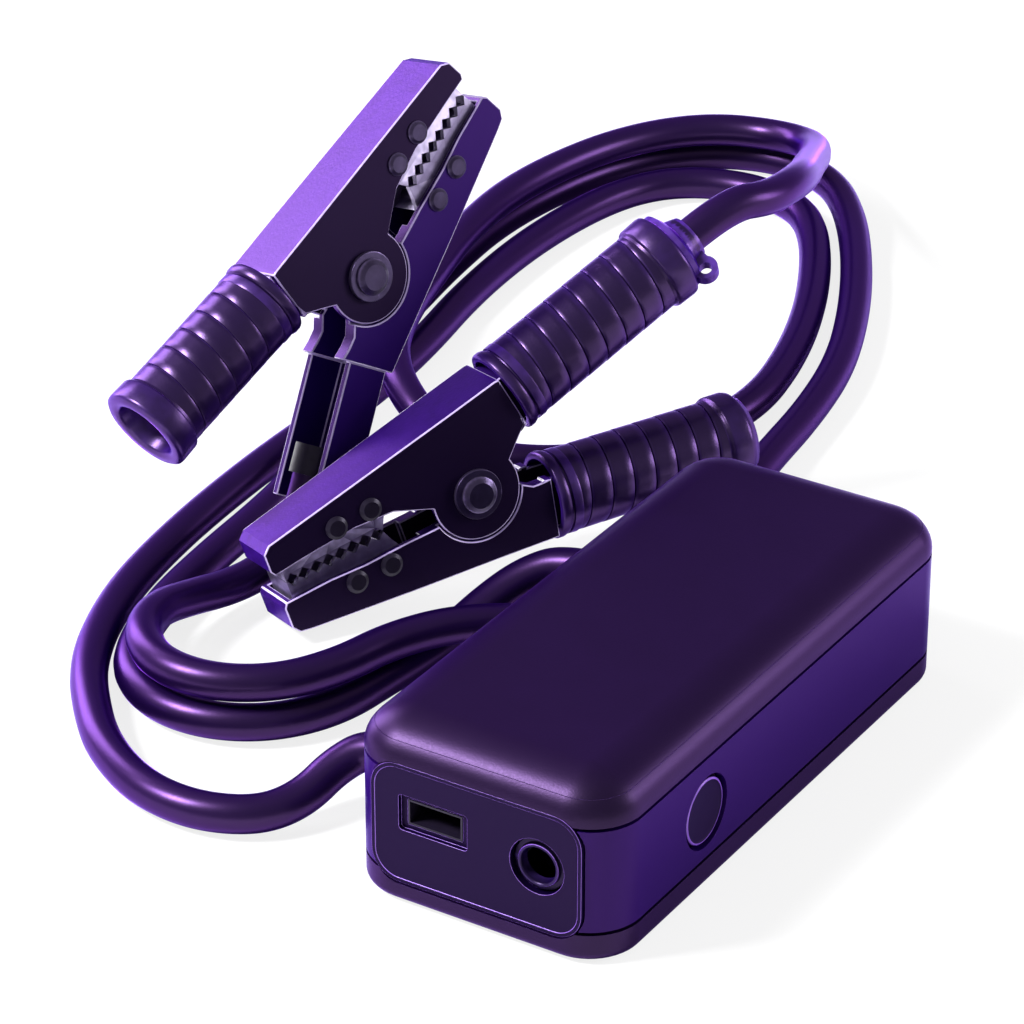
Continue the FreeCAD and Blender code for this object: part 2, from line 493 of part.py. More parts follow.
def tube(points, radius, label):
    """Straight runs joined by tangent arcs, swept with a round section."""
    pts = [V(*p) for p in points]
    edges = []
    here = pts[0]
    length = 0.0
    radii = []
    for i in range(1, len(pts) - 1):
        back, ahead = pts[i - 1] - pts[i], pts[i + 1] - pts[i]
        turn = math.pi - back.getAngle(ahead)
        reach = 0.45 * min(back.Length, ahead.Length)
        r = reach / math.tan(turn / 2)
        back.normalize()
        ahead.normalize()
        start, end = pts[i] + back * reach, pts[i] + ahead * reach
        middle_dir = (back + ahead).normalize()
        middle = pts[i] + middle_dir * (math.hypot(r, reach) - r)
        edges.append(Part.LineSegment(here, start).toShape())
        edges.append(Part.Arc(start, middle, end).toShape())
        length += (start - here).Length + r * turn
        radii.append(r)
        here = end
    edges.append(Part.LineSegment(here, pts[-1]).toShape())
    length += (pts[-1] - here).Length
    path = Part.Wire(edges)
    ring = Part.Wire(Part.makeCircle(radius, pts[0], pts[1] - pts[0]))
    solid = path.makePipeShell([ring], True, False)
    share = solid.Volume / (math.pi * radius * radius * length)
    course = path.discretize(Distance=radius / 4)
    print("%s length %.0f, volume share %.4f, least gap to itself %.2f, radii %s" % (
        label, length, share, least_gap(course, course, radius, 26), " ".join("%.0f" % r for r in radii)))
    return solid, course


def torsion_spring(lower_angle):
    """Coils round the rivet and a leg along the floor of each handle."""
    wire_r = 0.8
    sides = 6
    corners = 16
    pitch = 2.4
    corner_r = 5.3 / math.cos(math.pi / sides)
    width = pitch * (corners - 1) / sides
    points = [(-38.0, 23.6, -width / 2 - 0.2), (-13.5, 15.0, -width / 2 - 0.1)]
    for i in range(corners):
        a = math.pi / 2 - 2 * math.pi * i / sides
        points.append((corner_r * math.cos(a), corner_r * math.sin(a), pitch * i / sides - width / 2))
    rad = math.radians(lower_angle)
    floor = -3.4
    for s in (-1.0, 16.5):
        points.append((LOWER_ROOT[0] - s * math.cos(rad) + floor * -math.sin(rad),
                       LOWER_ROOT[1] - s * math.sin(rad) + floor * math.cos(rad), width / 2 + 0.1))
    return points, wire_r


def make_clamp(name, matrix, bare_lower):
    def place(solid):
        return solid.transformed(matrix, True)

    def bored(solid, spots, radius):
        for x, y in spots:
            solid = solid.cut(Part.makeCylinder(radius, 30, V(x, y, -15)))
        return solid

    upper_pins = [(34.0, 8.6), (25.0, 8.8)]
    lower_pins = [(34.0, -5.6), (25.0, -5.8)]
    lower_angle = CHANNEL_ANGLE if bare_lower else LOWER_ANGLE
    upper = bored(bored(upper_lever(), [(0, 0)], RIVET_R + 0.05), upper_pins, 1.52)
    lower = bored(bored(lower_lever(bare_lower), [(0, 0)], RIVET_R + 0.05), lower_pins, 1.52)
    save(name + "_upper_lever", place(upper.removeSplitter()))
    save(name + "_lower_lever", place(lower.removeSplitter()))
    save(name + "_upper_jaw", place(bored(toothed_jaw(True), upper_pins, 1.52)))
    save(name + "_lower_jaw", place(bored(toothed_jaw(False), lower_pins, 1.52)))
    for jaw, spots in (("upper", upper_pins), ("lower", lower_pins)):
        rivets = []
        for x, y in spots:
            seat = CLAMP_HALF_W - 0.85 * (x - 2.7) / (JAW_TIP_X + 3)
            rivets.append(pin_with_heads(x, y, 1.5, seat, 2.7, 0.9))
        save("%s_%s_jaw_rivets" % (name, jaw), place(Part.makeCompound(rivets)))
    washers = []
    for z0 in (-9.5, 8.3):
        washers.append(bored(Part.makeCylinder(5.9, 1.2, V(0, 0, z0)), [(0, 0)], RIVET_R + 0.05))
    save(name + "_pivot_washers", place(Part.makeCompound(washers)))
    save(name + "_pivot_rivet", place(pin_with_heads(0, 0, RIVET_R, 9.55, 4.3, 1.4)))
    points, wire_r = torsion_spring(lower_angle)
    spring = tube(points, wire_r, name + " spring")[0]
    save(name + "_torsion_spring", place(spring))
    if bare_lower:
        save(name + "_upper_grip", place(on_handle(grip_sleeve(OPEN_GRIP_LEN, 7.2), UPPER_ROOT, UPPER_ANGLE, 1)))
        save(name + "_lead_crimp", place(on_handle(lead_crimp(26.0), LOWER_ROOT, lower_angle, -1)))
        return
    save(name + "_upper_grip", place(on_handle(grip_sleeve(GRIP_LEN, 8.4), UPPER_ROOT, UPPER_ANGLE, 1)))
    save(name + "_lead_cap", place(on_handle(lead_cap(GRIP_LEN), UPPER_ROOT, UPPER_ANGLE, 1)))
    save(name + "_lower_grip", place(on_handle(grip_sleeve(GRIP_LEN, 0), LOWER_ROOT, lower_angle, -1)))


os.makedirs("parts", exist_ok=True)
make_pack()
make_clamp("clamp_a", clamp_matrix(CLAMP_A_PIVOT, CLAMP_A_NORMAL, CLAMP_A_SLOPE, False), True)
make_clamp("clamp_b", clamp_matrix(CLAMP_B_PIVOT, CLAMP_B_NORMAL, CLAMP_B_SLOPE, True), False)
rear_lead, rear_course = tube(LEAD_A_ROUTE, LEAD_D / 2, "lead a")
front_lead, front_course = tube(LEAD_B_ROUTE, LEAD_D / 2, "lead b")
print("least gap between the leads %.2f" % least_gap(rear_course, front_course, LEAD_D / 2, 0))
save("lead_a", rear_lead)
save("lead_b", front_lead)
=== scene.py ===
import json
import math

import bpy
from mathutils import Matrix, Vector

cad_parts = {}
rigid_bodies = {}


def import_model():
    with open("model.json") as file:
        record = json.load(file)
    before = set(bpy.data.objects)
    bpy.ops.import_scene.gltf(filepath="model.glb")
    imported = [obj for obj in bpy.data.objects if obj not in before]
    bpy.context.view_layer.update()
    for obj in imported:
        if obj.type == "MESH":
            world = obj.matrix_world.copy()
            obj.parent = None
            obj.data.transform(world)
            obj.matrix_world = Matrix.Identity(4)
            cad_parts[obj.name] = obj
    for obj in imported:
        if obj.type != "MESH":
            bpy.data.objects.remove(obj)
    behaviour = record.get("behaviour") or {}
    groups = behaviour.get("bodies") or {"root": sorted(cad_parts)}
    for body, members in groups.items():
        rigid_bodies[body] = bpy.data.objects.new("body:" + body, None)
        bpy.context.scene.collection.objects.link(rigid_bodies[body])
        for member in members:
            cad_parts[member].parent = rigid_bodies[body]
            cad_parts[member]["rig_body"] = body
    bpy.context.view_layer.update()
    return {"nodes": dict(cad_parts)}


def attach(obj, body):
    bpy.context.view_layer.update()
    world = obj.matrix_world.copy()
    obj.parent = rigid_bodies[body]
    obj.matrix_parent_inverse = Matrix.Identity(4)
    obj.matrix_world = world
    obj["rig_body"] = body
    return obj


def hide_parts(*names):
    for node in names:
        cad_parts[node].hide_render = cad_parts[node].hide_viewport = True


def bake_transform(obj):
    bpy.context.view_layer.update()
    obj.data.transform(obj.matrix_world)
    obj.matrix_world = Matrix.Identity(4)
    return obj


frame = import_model()
nodes = frame["nodes"]
packBody = "pack_and_fixed_halves"
mm = 0.001
print("frame loaded:", len(nodes), "nodes")

# camera at the photograph's angle
shot = {
    "azimuth": 32.14, "elevation": 28.5, "distance": 0.95, "lens": 156.35,
    "target": (-0.0362, -0.0010, 0.0530),
}


def makeCamera():
    az, el = math.radians(shot["azimuth"]), math.radians(shot["elevation"])
    back = Vector((math.sin(az) * math.cos(el), -math.cos(az) * math.cos(el), math.sin(el)))
    camData = bpy.data.cameras.new("shotCamera")
    camData.lens = shot["lens"]
    camData.sensor_width = 36
    camData.clip_start, camData.clip_end = 0.05, 20
    cam = bpy.data.objects.new("shotCamera", camData)
    bpy.context.collection.objects.link(cam)
    cam.location = Vector(shot["target"]) + back * shot["distance"]
    cam.rotation_mode = "QUATERNION"
    cam.rotation_quaternion = (-back).to_track_quat("-Z", "Y")
    bpy.context.scene.camera = cam


makeCamera()
print("camera placed")


# shader helpers
def addNode(tree, kind, inputs=None, **settings):
    node = tree.nodes.new(kind)
    for key, value in settings.items():
        setattr(node, key, value)
    for key, value in (inputs or {}).items():
        node.inputs[key].default_value = value
    return node


def newGroup(name, inputs, outputs):
    group = bpy.data.node_groups.new(name, "ShaderNodeTree")
    for label, value in inputs:
        kind = "NodeSocketColor" if isinstance(value, tuple) else "NodeSocketFloat"
        sock = group.interface.new_socket(name=label, in_out="INPUT", socket_type=kind)
        sock.default_value = value
    for label, kind in outputs:
        group.interface.new_socket(name=label, in_out="OUTPUT", socket_type=kind)
    return group, group.nodes.new("NodeGroupInput"), group.nodes.new("NodeGroupOutput")


# mouldedGrain: two tones mottled by soft noise, with a fine pebbled height
def makeGrainGroup():
    group, gin, gout = newGroup(
        "mouldedGrain",
        [("Base", (0.02, 0.01, 0.05, 1)), ("Tone", (0.04, 0.02, 0.1, 1)), ("Grain Scale", 3000.0),
         ("Mottle Scale", 60.0), ("Rough Low", 0.4), ("Rough High", 0.55)],
        [("Color", "NodeSocketColor"), ("Height", "NodeSocketFloat"), ("Roughness", "NodeSocketFloat")])
    link = group.links.new
    coord = group.nodes.new("ShaderNodeTexCoord")
    mottle = addNode(group, "ShaderNodeTexNoise", {"Detail": 2.0, "Roughness": 0.6})
    link(coord.outputs["Object"], mottle.inputs["Vector"])
    link(gin.outputs["Mottle Scale"], mottle.inputs["Scale"])
    speck = addNode(group, "ShaderNodeTexNoise", {"Detail": 1.0})
    link(coord.outputs["Object"], speck.inputs["Vector"])
    link(gin.outputs["Grain Scale"], speck.inputs["Scale"])
    mix = addNode(group, "ShaderNodeMix", data_type="RGBA")
    link(mottle.outputs["Fac"], mix.inputs["Factor"])
    link(gin.outputs["Base"], mix.inputs["A"])
    link(gin.outputs["Tone"], mix.inputs["B"])
    link(mix.outputs["Result"], gout.inputs["Color"])
    link(speck.outputs["Fac"], gout.inputs["Height"])
    rough = addNode(group, "ShaderNodeMapRange")
    link(speck.outputs["Fac"], rough.inputs["Value"])
    link(gin.outputs["Rough Low"], rough.inputs["To Min"])
    link(gin.outputs["Rough High"], rough.inputs["To Max"])
    link(rough.outputs["Result"], gout.inputs["Roughness"])
    return group


# edge group: convex edges painted lighter by pointiness, partly as wear and partly as a painted highlight
# line, broken up by noise
def makeEdgeWearHighlightGroup():
    group, gin, gout = newGroup(
        "edgeWearAndHighlight",
        [("Base", (0.02, 0.01, 0.05, 1)), ("Edge Wear Highlight Tone", (0.2, 0.12, 0.4, 1)),
         ("Amount", 0.6), ("Start", 0.53)],
        [("Color", "NodeSocketColor"), ("Mask", "NodeSocketFloat")])
    link = group.links.new
    geo = group.nodes.new("ShaderNodeNewGeometry")
    coord = group.nodes.new("ShaderNodeTexCoord")
    breakup = addNode(group, "ShaderNodeTexNoise", {"Scale": 400.0, "Detail": 1.0})
    link(coord.outputs["Object"], breakup.inputs["Vector"])
    edge = addNode(group, "ShaderNodeMapRange", {"From Max": 0.62})
    link(geo.outputs["Pointiness"], edge.inputs["Value"])
    link(gin.outputs["Start"], edge.inputs["From Min"])
    scaled = addNode(group, "ShaderNodeMath", operation="MULTIPLY")
    link(edge.outputs["Result"], scaled.inputs[0])
    link(gin.outputs["Amount"], scaled.inputs[1])
    broken = addNode(group, "ShaderNodeMath", operation="MULTIPLY")
    soft = addNode(group, "ShaderNodeMapRange", {"From Min": 0.3, "From Max": 0.6, "To Min": 0.45})
    link(breakup.outputs["Fac"], soft.inputs["Value"])
    link(scaled.outputs["Value"], broken.inputs[0])
    link(soft.outputs["Result"], broken.inputs[1])
    mix = addNode(group, "ShaderNodeMix", data_type="RGBA")
    link(broken.outputs["Value"], mix.inputs["Factor"])
    link(gin.outputs["Base"], mix.inputs["A"])
    link(gin.outputs["Edge Wear Highlight Tone"], mix.inputs["B"])
    link(mix.outputs["Result"], gout.inputs["Color"])
    link(broken.outputs["Value"], gout.inputs["Mask"])
    return group


# settledDust: a faint pale film on faces that look up
def makeDustGroup():
    group, gin, gout = newGroup(
        "settledDust", [("Base", (0.02, 0.01, 0.05, 1)), ("Dust", (0.3, 0.26, 0.4, 1)), ("Amount", 0.05)],
        [("Color", "NodeSocketColor")])
    link = group.links.new
    geo = group.nodes.new("ShaderNodeNewGeometry")
    coord = group.nodes.new("ShaderNodeTexCoord")
    split = group.nodes.new("ShaderNodeSeparateXYZ")
    link(geo.outputs["Normal"], split.inputs[0])
    cloud = addNode(group, "ShaderNodeTexNoise", {"Scale": 90.0, "Detail": 2.0, "Roughness": 0.7})
    link(coord.outputs["Object"], cloud.inputs["Vector"])
    up = addNode(group, "ShaderNodeMath", operation="MULTIPLY", use_clamp=True)
    link(split.outputs["Z"], up.inputs[0])
    link(cloud.outputs["Fac"], up.inputs[1])
    amount = addNode(group, "ShaderNodeMath", operation="MULTIPLY")
    link(up.outputs["Value"], amount.inputs[0])
    link(gin.outputs["Amount"], amount.inputs[1])
    mix = addNode(group, "ShaderNodeMix", data_type="RGBA")
    link(amount.outputs["Value"], mix.inputs["Factor"])
    link(gin.outputs["Base"], mix.inputs["A"])
    link(gin.outputs["Dust"], mix.inputs["B"])
    link(mix.outputs["Result"], gout.inputs["Color"])
    return group


grainGroup = makeGrainGroup()
edgeWearHighlightGroup = makeEdgeWearHighlightGroup()
dustGroup = makeDustGroup()


def makeFinish(name, look):
    mat = bpy.data.materials.new(name)
    mat.use_nodes = True
    tree = mat.node_tree
    link = tree.links.new
    shader = tree.nodes["Principled BSDF"]
    for key, value in look["shader"].items():
        shader.inputs[key].default_value = value
    grain = addNode(tree, "ShaderNodeGroup", node_tree=grainGroup)
    for key, value in (("Base", look["base"]), ("Tone", look["tone"])):
        grain.inputs[key].default_value = value + (1,)
    grain.inputs["Grain Scale"].default_value = look["grainScale"]
    grain.inputs["Mottle Scale"].default_value = look["mottle"]
    grain.inputs["Rough Low"].default_value, grain.inputs["Rough High"].default_value = look["rough"]
    # the edge group paints convex edges in each finish's edge colour: part wear, part painted highlight
    edge = addNode(tree, "ShaderNodeGroup", node_tree=edgeWearHighlightGroup)
    edge.inputs["Edge Wear Highlight Tone"].default_value = look["edge"] + (1,)
    edge.inputs["Amount"].default_value = look["edgeWearHighlightAmount"]
    dust = addNode(tree, "ShaderNodeGroup", node_tree=dustGroup)
    dust.inputs["Amount"].default_value = look["dust"]
    bump = addNode(tree, "ShaderNodeBump", {"Strength": look["bump"], "Distance": look["depth"]})
    link(grain.outputs["Color"], edge.inputs["Base"])
    link(edge.outputs["Color"], dust.inputs["Base"])
    link(dust.outputs["Color"], shader.inputs["Base Color"])
    link(grain.outputs["Roughness"], shader.inputs["Roughness"])
    link(grain.outputs["Height"], bump.inputs["Height"])
    link(bump.outputs["Normal"], shader.inputs["Normal"])
    return mat


# a violet film over satin plastic: it deepens towards the rims, as the real moulding does
def filmed(tint, level, sheen=0.0):
    return {
        "Specular IOR Level": level, "Coat Weight": 1.0, "Coat IOR": 1.05, "Coat Roughness": 0.3,
        "Coat Tint": tint + (1,), "Sheen Weight": sheen, "Sheen Roughness": 0.16,
        "Sheen Tint": (0.34, 0.07, 1.0, 1),
    }


finishes = {
    "shell": {
        "base": (0.0045, 0.0028, 0.0075), "tone": (0.0065, 0.004, 0.011),
        "grainScale": 2400.0, "mottle": 45.0, "rough": (0.34, 0.46), "bump": 0.3,
        "depth": 0.00006, "edge": (0.20, 0.12, 0.40), "edgeWearHighlightAmount": 0.0, "dust": 0.004,
        "shader": filmed((0.66, 0.40, 0.98), 0.3, sheen=0.32),
    },
    "band": {
        "base": (0.014, 0.005, 0.042), "tone": (0.017, 0.006, 0.050),
        "grainScale": 2400.0, "mottle": 25.0, "rough": (0.38, 0.5), "bump": 0.25,
        "depth": 0.00006, "edge": (0.3, 0.16, 0.7), "edgeWearHighlightAmount": 0.0, "dust": 0.003,
        "shader": filmed((0.62, 0.32, 0.98), 0.25, sheen=0.5),
    },
    "panel": {
        "base": (0.0035, 0.002, 0.009), "tone": (0.0045, 0.0028, 0.0115),
        "grainScale": 3000.0, "mottle": 55.0, "rough": (0.40, 0.5), "bump": 0.22,
        "depth": 0.00005, "edge": (0.35, 0.25, 0.6), "edgeWearHighlightAmount": 0.0, "dust": 0.003,
        "shader": filmed((0.62, 0.40, 0.95), 0.14, sheen=0.05),
    },
    "socketPlastic": {
        "base": (0.005, 0.0035, 0.009), "tone": (0.008, 0.006, 0.015),
        "grainScale": 3600.0, "mottle": 90.0, "rough": (0.28, 0.4), "bump": 0.12,
        "depth": 0.00004, "edge": (0.10, 0.07, 0.18), "edgeWearHighlightAmount": 0.4, "dust": 0.003,
        "shader": filmed((0.6, 0.45, 0.9), 0.25),
    },
    "contactMetal": {
        "base": (0.30, 0.24, 0.40), "tone": (0.42, 0.34, 0.55), "grainScale": 4000.0,
        "mottle": 200.0, "rough": (0.28, 0.4), "bump": 0.1, "depth": 0.00003,
        "edge": (0.7, 0.6, 0.9), "edgeWearHighlightAmount": 0.6, "dust": 0.003,
        "shader": {"Metallic": 1.0},
    },
    "rivetSteel": {
        "base": (0.020, 0.013, 0.036), "tone": (0.060, 0.044, 0.10), "grainScale": 2200.0,
        "mottle": 300.0, "rough": (0.24, 0.42), "bump": 0.35, "depth": 0.00006,
        "edge": (0.30, 0.22, 0.48), "edgeWearHighlightAmount": 0.5, "dust": 0.0,
        "shader": {"Metallic": 0.85},
    },
    "jawMetal": {
        "base": (0.06, 0.045, 0.10), "tone": (0.22, 0.18, 0.32), "grainScale": 1500.0,
        "mottle": 260.0, "rough": (0.28, 0.48), "bump": 0.4, "depth": 0.00009,
        "edge": (0.75, 0.66, 0.95), "edgeWearHighlightAmount": 0.8, "dust": 0.0,
        "shader": {"Metallic": 0.9},
    },
    "rubber": {
        "base": (0.012, 0.008, 0.022), "tone": (0.022, 0.014, 0.042),
        "grainScale": 1900.0, "mottle": 70.0, "rough": (0.45, 0.6), "bump": 0.25,
        "depth": 0.00008, "edge": (0.15, 0.1, 0.32), "edgeWearHighlightAmount": 0.4, "dust": 0.01,
        "shader": filmed((0.58, 0.30, 0.98), 0.3, sheen=0.2),
    },
    "gripRubber": {
        "base": (0.0055, 0.0035, 0.0115), "tone": (0.009, 0.0055, 0.019),
        "grainScale": 1700.0, "mottle": 60.0, "rough": (0.26, 0.36), "bump": 0.22,
        "depth": 0.00007, "edge": (0.25, 0.15, 0.55), "edgeWearHighlightAmount": 0.3, "dust": 0.003,
        "shader": filmed((0.66, 0.42, 1.0), 0.6, sheen=0.5),
    },
    "leverFace": {
        "base": (0.012, 0.0065, 0.030), "tone": (0.020, 0.011, 0.048),
        "grainScale": 1400.0, "mottle": 60.0, "rough": (0.32, 0.46), "bump": 0.45,
        "depth": 0.0001, "edge": (0.35, 0.2, 0.7), "edgeWearHighlightAmount": 0.2, "dust": 0.002,
        "shader": filmed((0.66, 0.40, 1.0), 0.5, sheen=0.45),
    },
    "leverCheek": {
        "base": (0.0055, 0.0035, 0.0105), "tone": (0.0075, 0.005, 0.0145),
        "grainScale": 2600.0, "mottle": 50.0, "rough": (0.4, 0.5), "bump": 0.18,
        "depth": 0.00005, "edge": (0.12, 0.08, 0.25), "edgeWearHighlightAmount": 0.0, "dust": 0.003,
        "shader": filmed((0.62, 0.40, 0.92), 0.2, sheen=0.1),
    },
    # a brighter violet copy of the cheek finish: painted light on the bare lower lever's cheeks
    "leverCheekPaintedLit": {
        "base": (0.016, 0.0055, 0.062), "tone": (0.021, 0.0075, 0.080),
        "grainScale": 2400.0, "mottle": 50.0, "rough": (0.34, 0.46), "bump": 0.2,
        "depth": 0.00006, "edge": (0.3, 0.15, 0.7), "edgeWearHighlightAmount": 0.0, "dust": 0.003,
        "shader": filmed((0.60, 0.30, 1.0), 0.35, sheen=0.5),
    },
    # pale lilac bevel faces on the levers: a painted highlight line along each edge
    "leverEdgePaintedHighlight": {
        "base": (0.26, 0.19, 0.40), "tone": (0.5, 0.40, 0.72), "grainScale": 2600.0,
        "mottle": 500.0, "rough": (0.26, 0.4), "bump": 0.2, "depth": 0.00004,
        "edge": (0.6, 0.5, 0.9), "edgeWearHighlightAmount": 0.3, "dust": 0.0,
        "shader": {"Specular IOR Level": 0.6},
    },
    "leadSilicone": {
        "base": (0.005, 0.003, 0.012), "tone": (0.0075, 0.0045, 0.0175),
        "grainScale": 1800.0, "mottle": 35.0, "rough": (0.28, 0.38), "bump": 0.14,
        "depth": 0.00006, "edge": (0.1, 0.05, 0.25), "edgeWearHighlightAmount": 0.0, "dust": 0.003,
        "shader": filmed((0.64, 0.33, 1.0), 0.5, sheen=0.7),
    },
    # pale lilac finish for bevel faces and thin rim bands: a painted highlight line
    "seamPaintedHighlight": {
        "base": (0.16, 0.11, 0.30), "tone": (0.30, 0.21, 0.50), "grainScale": 2400.0,
        "mottle": 300.0, "rough": (0.26, 0.36), "bump": 0.15, "depth": 0.00004,
        "edge": (0.3, 0.2, 0.6), "edgeWearHighlightAmount": 0.3, "dust": 0.0,
        "shader": filmed((0.8, 0.6, 1.0), 0.6, sheen=0.3),
    },
    "blackSteel": {
        "base": (0.008, 0.0055, 0.015), "tone": (0.016, 0.011, 0.028),
        "grainScale": 2200.0, "mottle": 300.0, "rough": (0.3, 0.46), "bump": 0.3,
        "depth": 0.00005, "edge": (0.2, 0.15, 0.3), "edgeWearHighlightAmount": 0.0, "dust": 0.0,
        "shader": {"Metallic": 0.5, "Specular IOR Level": 0.3},
    },
    "boardGreen": {
        "base": (0.008, 0.022, 0.014), "tone": (0.012, 0.035, 0.020),
        "grainScale": 1400.0, "mottle": 400.0, "rough": (0.35, 0.5), "bump": 0.2,
        "depth": 0.00005, "edge": (0.2, 0.25, 0.15), "edgeWearHighlightAmount": 0.5, "dust": 0.02,
        "shader": {"Specular IOR Level": 0.5},
    },
    "cellWrap": {
        "base": (0.16, 0.17, 0.19), "tone": (0.24, 0.25, 0.27), "grainScale": 700.0,
        "mottle": 120.0, "rough": (0.3, 0.45), "bump": 0.3, "depth": 0.0001,
        "edge": (0.5, 0.5, 0.55), "edgeWearHighlightAmount": 0.5, "dust": 0.02,
        "shader": {"Metallic": 0.6},
    },
    "springSteel": {
        "base": (0.06, 0.05, 0.09), "tone": (0.14, 0.11, 0.2), "grainScale": 2500.0,
        "mottle": 300.0, "rough": (0.22, 0.36), "bump": 0.15, "depth": 0.00004,
        "edge": (0.6, 0.5, 0.85), "edgeWearHighlightAmount": 0.5, "dust": 0.0,
        "shader": {"Metallic": 0.95},
    },
}
mats = {name: makeFinish(name, look) for name, look in finishes.items()}
print("finishes made:", len(mats))

# which finish each carried-over node takes
nodeFinish = {
    "top_cover": "shell", "side_band": "band", "bottom_tray": "shell",
    "front_panel": "panel", "case_screws": "rivetSteel", "rubber_feet": "rubber",
    "usb_shell": "blackSteel", "usb_tongue": "socketPlastic",
    "usb_contacts": "contactMetal", "dc_socket_sleeve": "socketPlastic",
    "dc_socket_pin": "contactMetal", "power_button": "panel",
    "power_switch": "socketPlastic", "circuit_board": "boardGreen",
    "board_posts": "socketPlastic", "cell_bracket": "socketPlastic",
    "cell_tabs": "contactMetal", "lead_gland_front": "rubber", "lead_gland_rear": "rubber",
    "clamp_b_upper_jaw_rivets": "blackSteel", "clamp_b_lower_jaw_rivets": "blackSteel",
}


# the other nodes take theirs from the first of these words in their names
wordFinish = {
    "cell": "cellWrap", "lever": "leverCheek", "rivet": "rivetSteel", "washers": "rivetSteel",
    "jaw": "jawMetal", "spring": "springSteel", "grip": "gripRubber", "crimp": "blackSteel",
    "cap": "gripRubber",
}


def finishFor(name):
    if name in nodeFinish:
        return nodeFinish[name]
    for word, finish in wordFinish.items():
        if word in name:
            return finish
    return "leadSilicone"


for name, obj in nodes.items():
    obj.data.materials.clear()
    obj.data.materials.append(mats[finishFor(name)])
print("carried-over nodes finished")

# the two leads, each one smooth spline along its route
leads = {"diameter": 0.0085, "rearLength": 0.969, "frontLength": 1.105, "roundness": 8}
rearRoute = [
    (-0.038, 0.042, 0.017), (-0.0485, 0.042, 0.017), (-0.0565, 0.037, 0.0136),
    (-0.0615, 0.0275, 0.009), (-0.064, 0.014, 0.0048), (-0.0665, -0.003, 0.0043),
    (-0.0685, -0.0205, 0.0043), (-0.076, -0.0335, 0.0043), (-0.0886, -0.041, 0.0043),
    (-0.1034, -0.041, 0.0043), (-0.116, -0.0335, 0.0043), (-0.1235, -0.0205, 0.0043),
    (-0.1285, -0.003, 0.0043), (-0.1315, 0.02, 0.0043), (-0.1335, 0.045, 0.0043),
    (-0.1345, 0.066, 0.007), (-0.1405, 0.084, 0.0145), (-0.1525, 0.103, 0.0145),
    (-0.1595, 0.126, 0.0065), (-0.1655, 0.152, 0.0043), (-0.171, 0.182, 0.0043),
    (-0.1745, 0.214, 0.0043), (-0.1705, 0.246, 0.0043), (-0.1615, 0.268, 0.0043),
    (-0.1485, 0.282, 0.0043), (-0.1305, 0.2885, 0.0043), (-0.1115, 0.283, 0.0043),
    (-0.096, 0.266, 0.0043), (-0.08, 0.24, 0.0043), (-0.066, 0.212, 0.0043),
    (-0.055, 0.184, 0.0043), (-0.049, 0.156, 0.0043), (-0.046, 0.13, 0.0043),
    (-0.0415, 0.104, 0.0043), (-0.0385, 0.078, 0.0043), (-0.038, 0.054, 0.0043),
    (-0.04, 0.037, 0.005), (-0.047, 0.023, 0.011), (-0.058, 0.0105, 0.0134),
    (-0.066, -0.0035, 0.0134), (-0.0695, -0.0195, 0.0134), (-0.077, -0.0325, 0.0134),
    (-0.0895, -0.0398, 0.0134), (-0.1035, -0.0393, 0.0134), (-0.1145, -0.031, 0.0134),
    (-0.1195, -0.0185, 0.0124), (-0.1193, -0.005, 0.009), (-0.1175, 0.0065, 0.0064),
    (-0.1153, 0.017, 0.0064), (-0.1137, 0.0243, 0.0096), (-0.1132, 0.02969, 0.0156),
    (-0.11358, 0.03468, 0.02367),
]
frontRoute = [
    (-0.038, -0.042, 0.013), (-0.0455, -0.0423, 0.0128), (-0.0505, -0.0483, 0.0095),
    (-0.0525, -0.0568, 0.0058), (-0.0565, -0.0645, 0.0043), (-0.0635, -0.0698, 0.0043),
    (-0.0735, -0.0722, 0.0043), (-0.0855, -0.0705, 0.0043), (-0.0975, -0.0645, 0.0043),
    (-0.109, -0.0556, 0.0043), (-0.127, -0.035, 0.0043), (-0.1385, -0.008, 0.0043),
    (-0.144, 0.02, 0.0043), (-0.147, 0.05, 0.0043), (-0.148, 0.08, 0.0043),
    (-0.147, 0.108, 0.0043), (-0.1505, 0.138, 0.0043), (-0.157, 0.17, 0.0043),
    (-0.16, 0.204, 0.0043), (-0.158, 0.235, 0.0043), (-0.1515, 0.254, 0.0043),
    (-0.14, 0.2636, 0.0043), (-0.1253, 0.2668, 0.0043), (-0.1109, 0.2626, 0.0043),
    (-0.1001, 0.2522, 0.0043), (-0.088, 0.232, 0.0043), (-0.076, 0.206, 0.0043),
    (-0.0675, 0.18, 0.0043), (-0.063, 0.156, 0.0043), (-0.066, 0.134, 0.0043),
    (-0.077, 0.112, 0.0043), (-0.093, 0.0975, 0.0043), (-0.112, 0.0925, 0.0055),
    (-0.129, 0.098, 0.0125), (-0.143, 0.112, 0.015), (-0.153, 0.133, 0.0145),
    (-0.161, 0.158, 0.0134), (-0.168, 0.184, 0.0134), (-0.1715, 0.214, 0.0134),
    (-0.167, 0.245, 0.0134), (-0.158, 0.266, 0.0134), (-0.1455, 0.279, 0.0134),
    (-0.1295, 0.284, 0.0134), (-0.114, 0.278, 0.016), (-0.1015, 0.255, 0.024),
    (-0.0828, 0.2162, 0.0409), (-0.065, 0.1807, 0.0563), (-0.054, 0.1585, 0.0665),
    (-0.0485, 0.143, 0.0715), (-0.0472, 0.1295, 0.0735), (-0.0515, 0.1184, 0.07536),
    (-0.05626, 0.10833, 0.0697),
]


